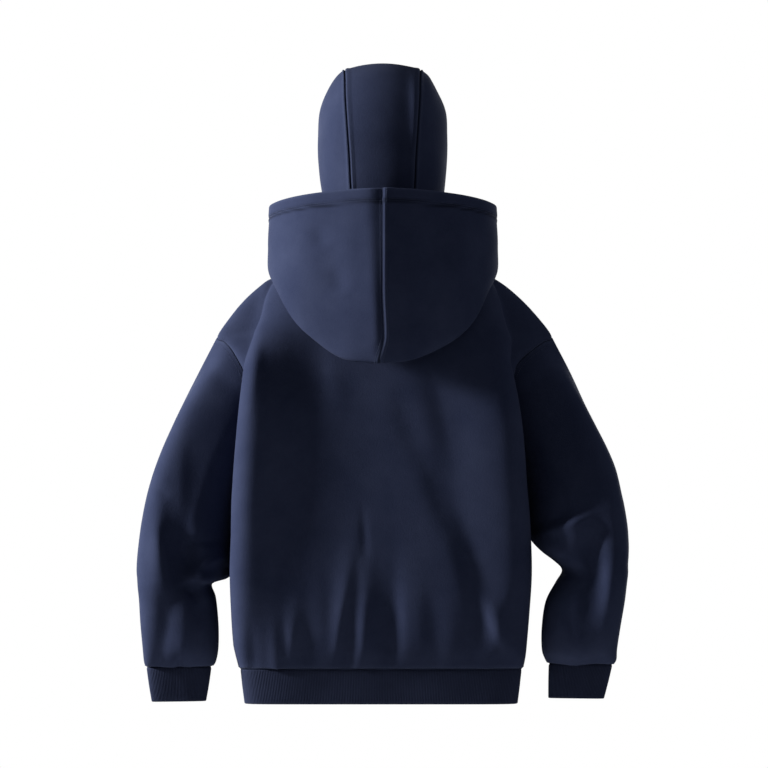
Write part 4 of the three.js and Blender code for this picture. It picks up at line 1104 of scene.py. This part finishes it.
cuff_left = cuff("left_cuff", 1)
cuff_right = cuff("right_cuff", -1)
hem_ring = np.concatenate([back[0], front[0][1:-1]])
hem_level = back_rows["seamZ"][0]
hem_top = hem_ring * [HEM_TOP_SHARE, HEM_TOP_SHARE, 0] + [0, 0, hem_level + SEAM_TUCK]
hem_foot = hem_ring * [HEM_FOOT_SHARE, HEM_FOOT_SHARE, 0] + [0, 0, hem_level - HEM_DEPTH]
hem_band = ribbed_band("hem_rib", hem_foot, hem_top, HEM_FINE)
for band, node, width in ((cuff_left, "cuff_left", 0.24), (cuff_right, "cuff_right", 0.24),
                          (hem_band, "hem_band", 1.2)):
    declare(node)


# The studio, in metres: a round pale floor a metre below the hem, a low key light on the side of the
# left arm, a weak fill on the other, two wide lights for the edges, and a little from all round.
FLOOR_LEVEL, FLOOR_RADIUS, FLOOR_SIDES = -1.7, 1.3, 96
angle = np.linspace(0, 2 * np.pi, FLOOR_SIDES + 1)[:-1]
disc = np.stack([FLOOR_RADIUS * np.cos(angle), FLOOR_RADIUS * np.sin(angle),
                 np.full_like(angle, FLOOR_LEVEL)], -1)
floor_mesh = bpy.data.meshes.new("studio_floor")
floor_mesh.from_pydata(disc.tolist(), [], [list(range(FLOOR_SIDES))])
pale, pale_tree, pale_shader = blank_material("pale_floor", Roughness=0.8)
grain = add(pale_tree, "TexNoise", {"Scale": 3, "Detail": 3},
            {"Vector": add(pale_tree, "TexCoord").outputs["Object"]})
tone = add(pale_tree, "Mix", {"A": paint("#e6e6e4"), "B": paint("#f0f0ee")},
           {"Factor": grain.outputs["Fac"]}, data_type="RGBA")
pale_tree.links.new(tone.outputs["Result"], pale_shader.inputs["Base Color"])
floor_mesh.materials.append(pale)
floor = bpy.data.objects.new("studio_floor", floor_mesh)
bpy.context.scene.collection.objects.link(floor)


def soft_light(name, place, target, size, power, colour):
    """A square area light at a place, facing a target."""
    lamp = bpy.data.lights.new(name, "AREA")
    lamp.size, lamp.energy, lamp.color = size, power, colour
    light = bpy.data.objects.new(name, lamp)
    light.location = place
    light.rotation_euler = (Vector(target) - Vector(place)).to_track_quat("-Z", "Y").to_euler()
    bpy.context.scene.collection.objects.link(light)


WARM, COOL = (1.0, 0.99, 0.97), (0.97, 0.98, 1.0)
soft_light("key", (3.4, 0.46, 0.75), (0, 0, -0.2), 0.5, 320, WARM)
soft_light("fill", (-3.3, 0.7, 1.2), (0, 0, -0.1), 1.2, 15, COOL)
soft_light("rim_left", (1.5, -3.1, 0.1), (0, 0, -0.2), 1.8, 60, COOL)
soft_light("rim_right", (-1.5, -3.1, 0.1), (0, 0, -0.2), 1.8, 60, COOL)

world = bpy.data.worlds.new("studio")
bpy.context.scene.world = world
world.use_nodes = True
sky = world.node_tree
seen = add(sky, "LightPath")
white = add(sky, "Background", {"Color": (1, 1, 1, 1), "Strength": 1.0})
glow = add(sky, "Background", {"Color": (0.93, 0.95, 1.0, 1), "Strength": 0.14})
choice = add(sky, "MixShader", None, {0: seen.outputs["Is Camera Ray"],
                                      1: glow.outputs["Background"], 2: white.outputs["Background"]})
sky.links.new(choice.outputs["Shader"], sky.nodes["World Output"].inputs["Surface"])
bpy.context.scene.view_settings.view_transform = "Standard"

# The camera stands 10 m behind the garment, level with its middle, and its long lens takes in 1.19 m.
lens = bpy.data.cameras.new("camera")
lens.lens, lens.sensor_width = 302.5, 36
lens.clip_end = 60
camera = bpy.data.objects.new("camera", lens)
camera.location = (-0.0031, 10, -0.2077)
camera.rotation_euler = (np.pi / 2, 0, np.pi)
bpy.context.scene.collection.objects.link(camera)
bpy.context.scene.camera = camera
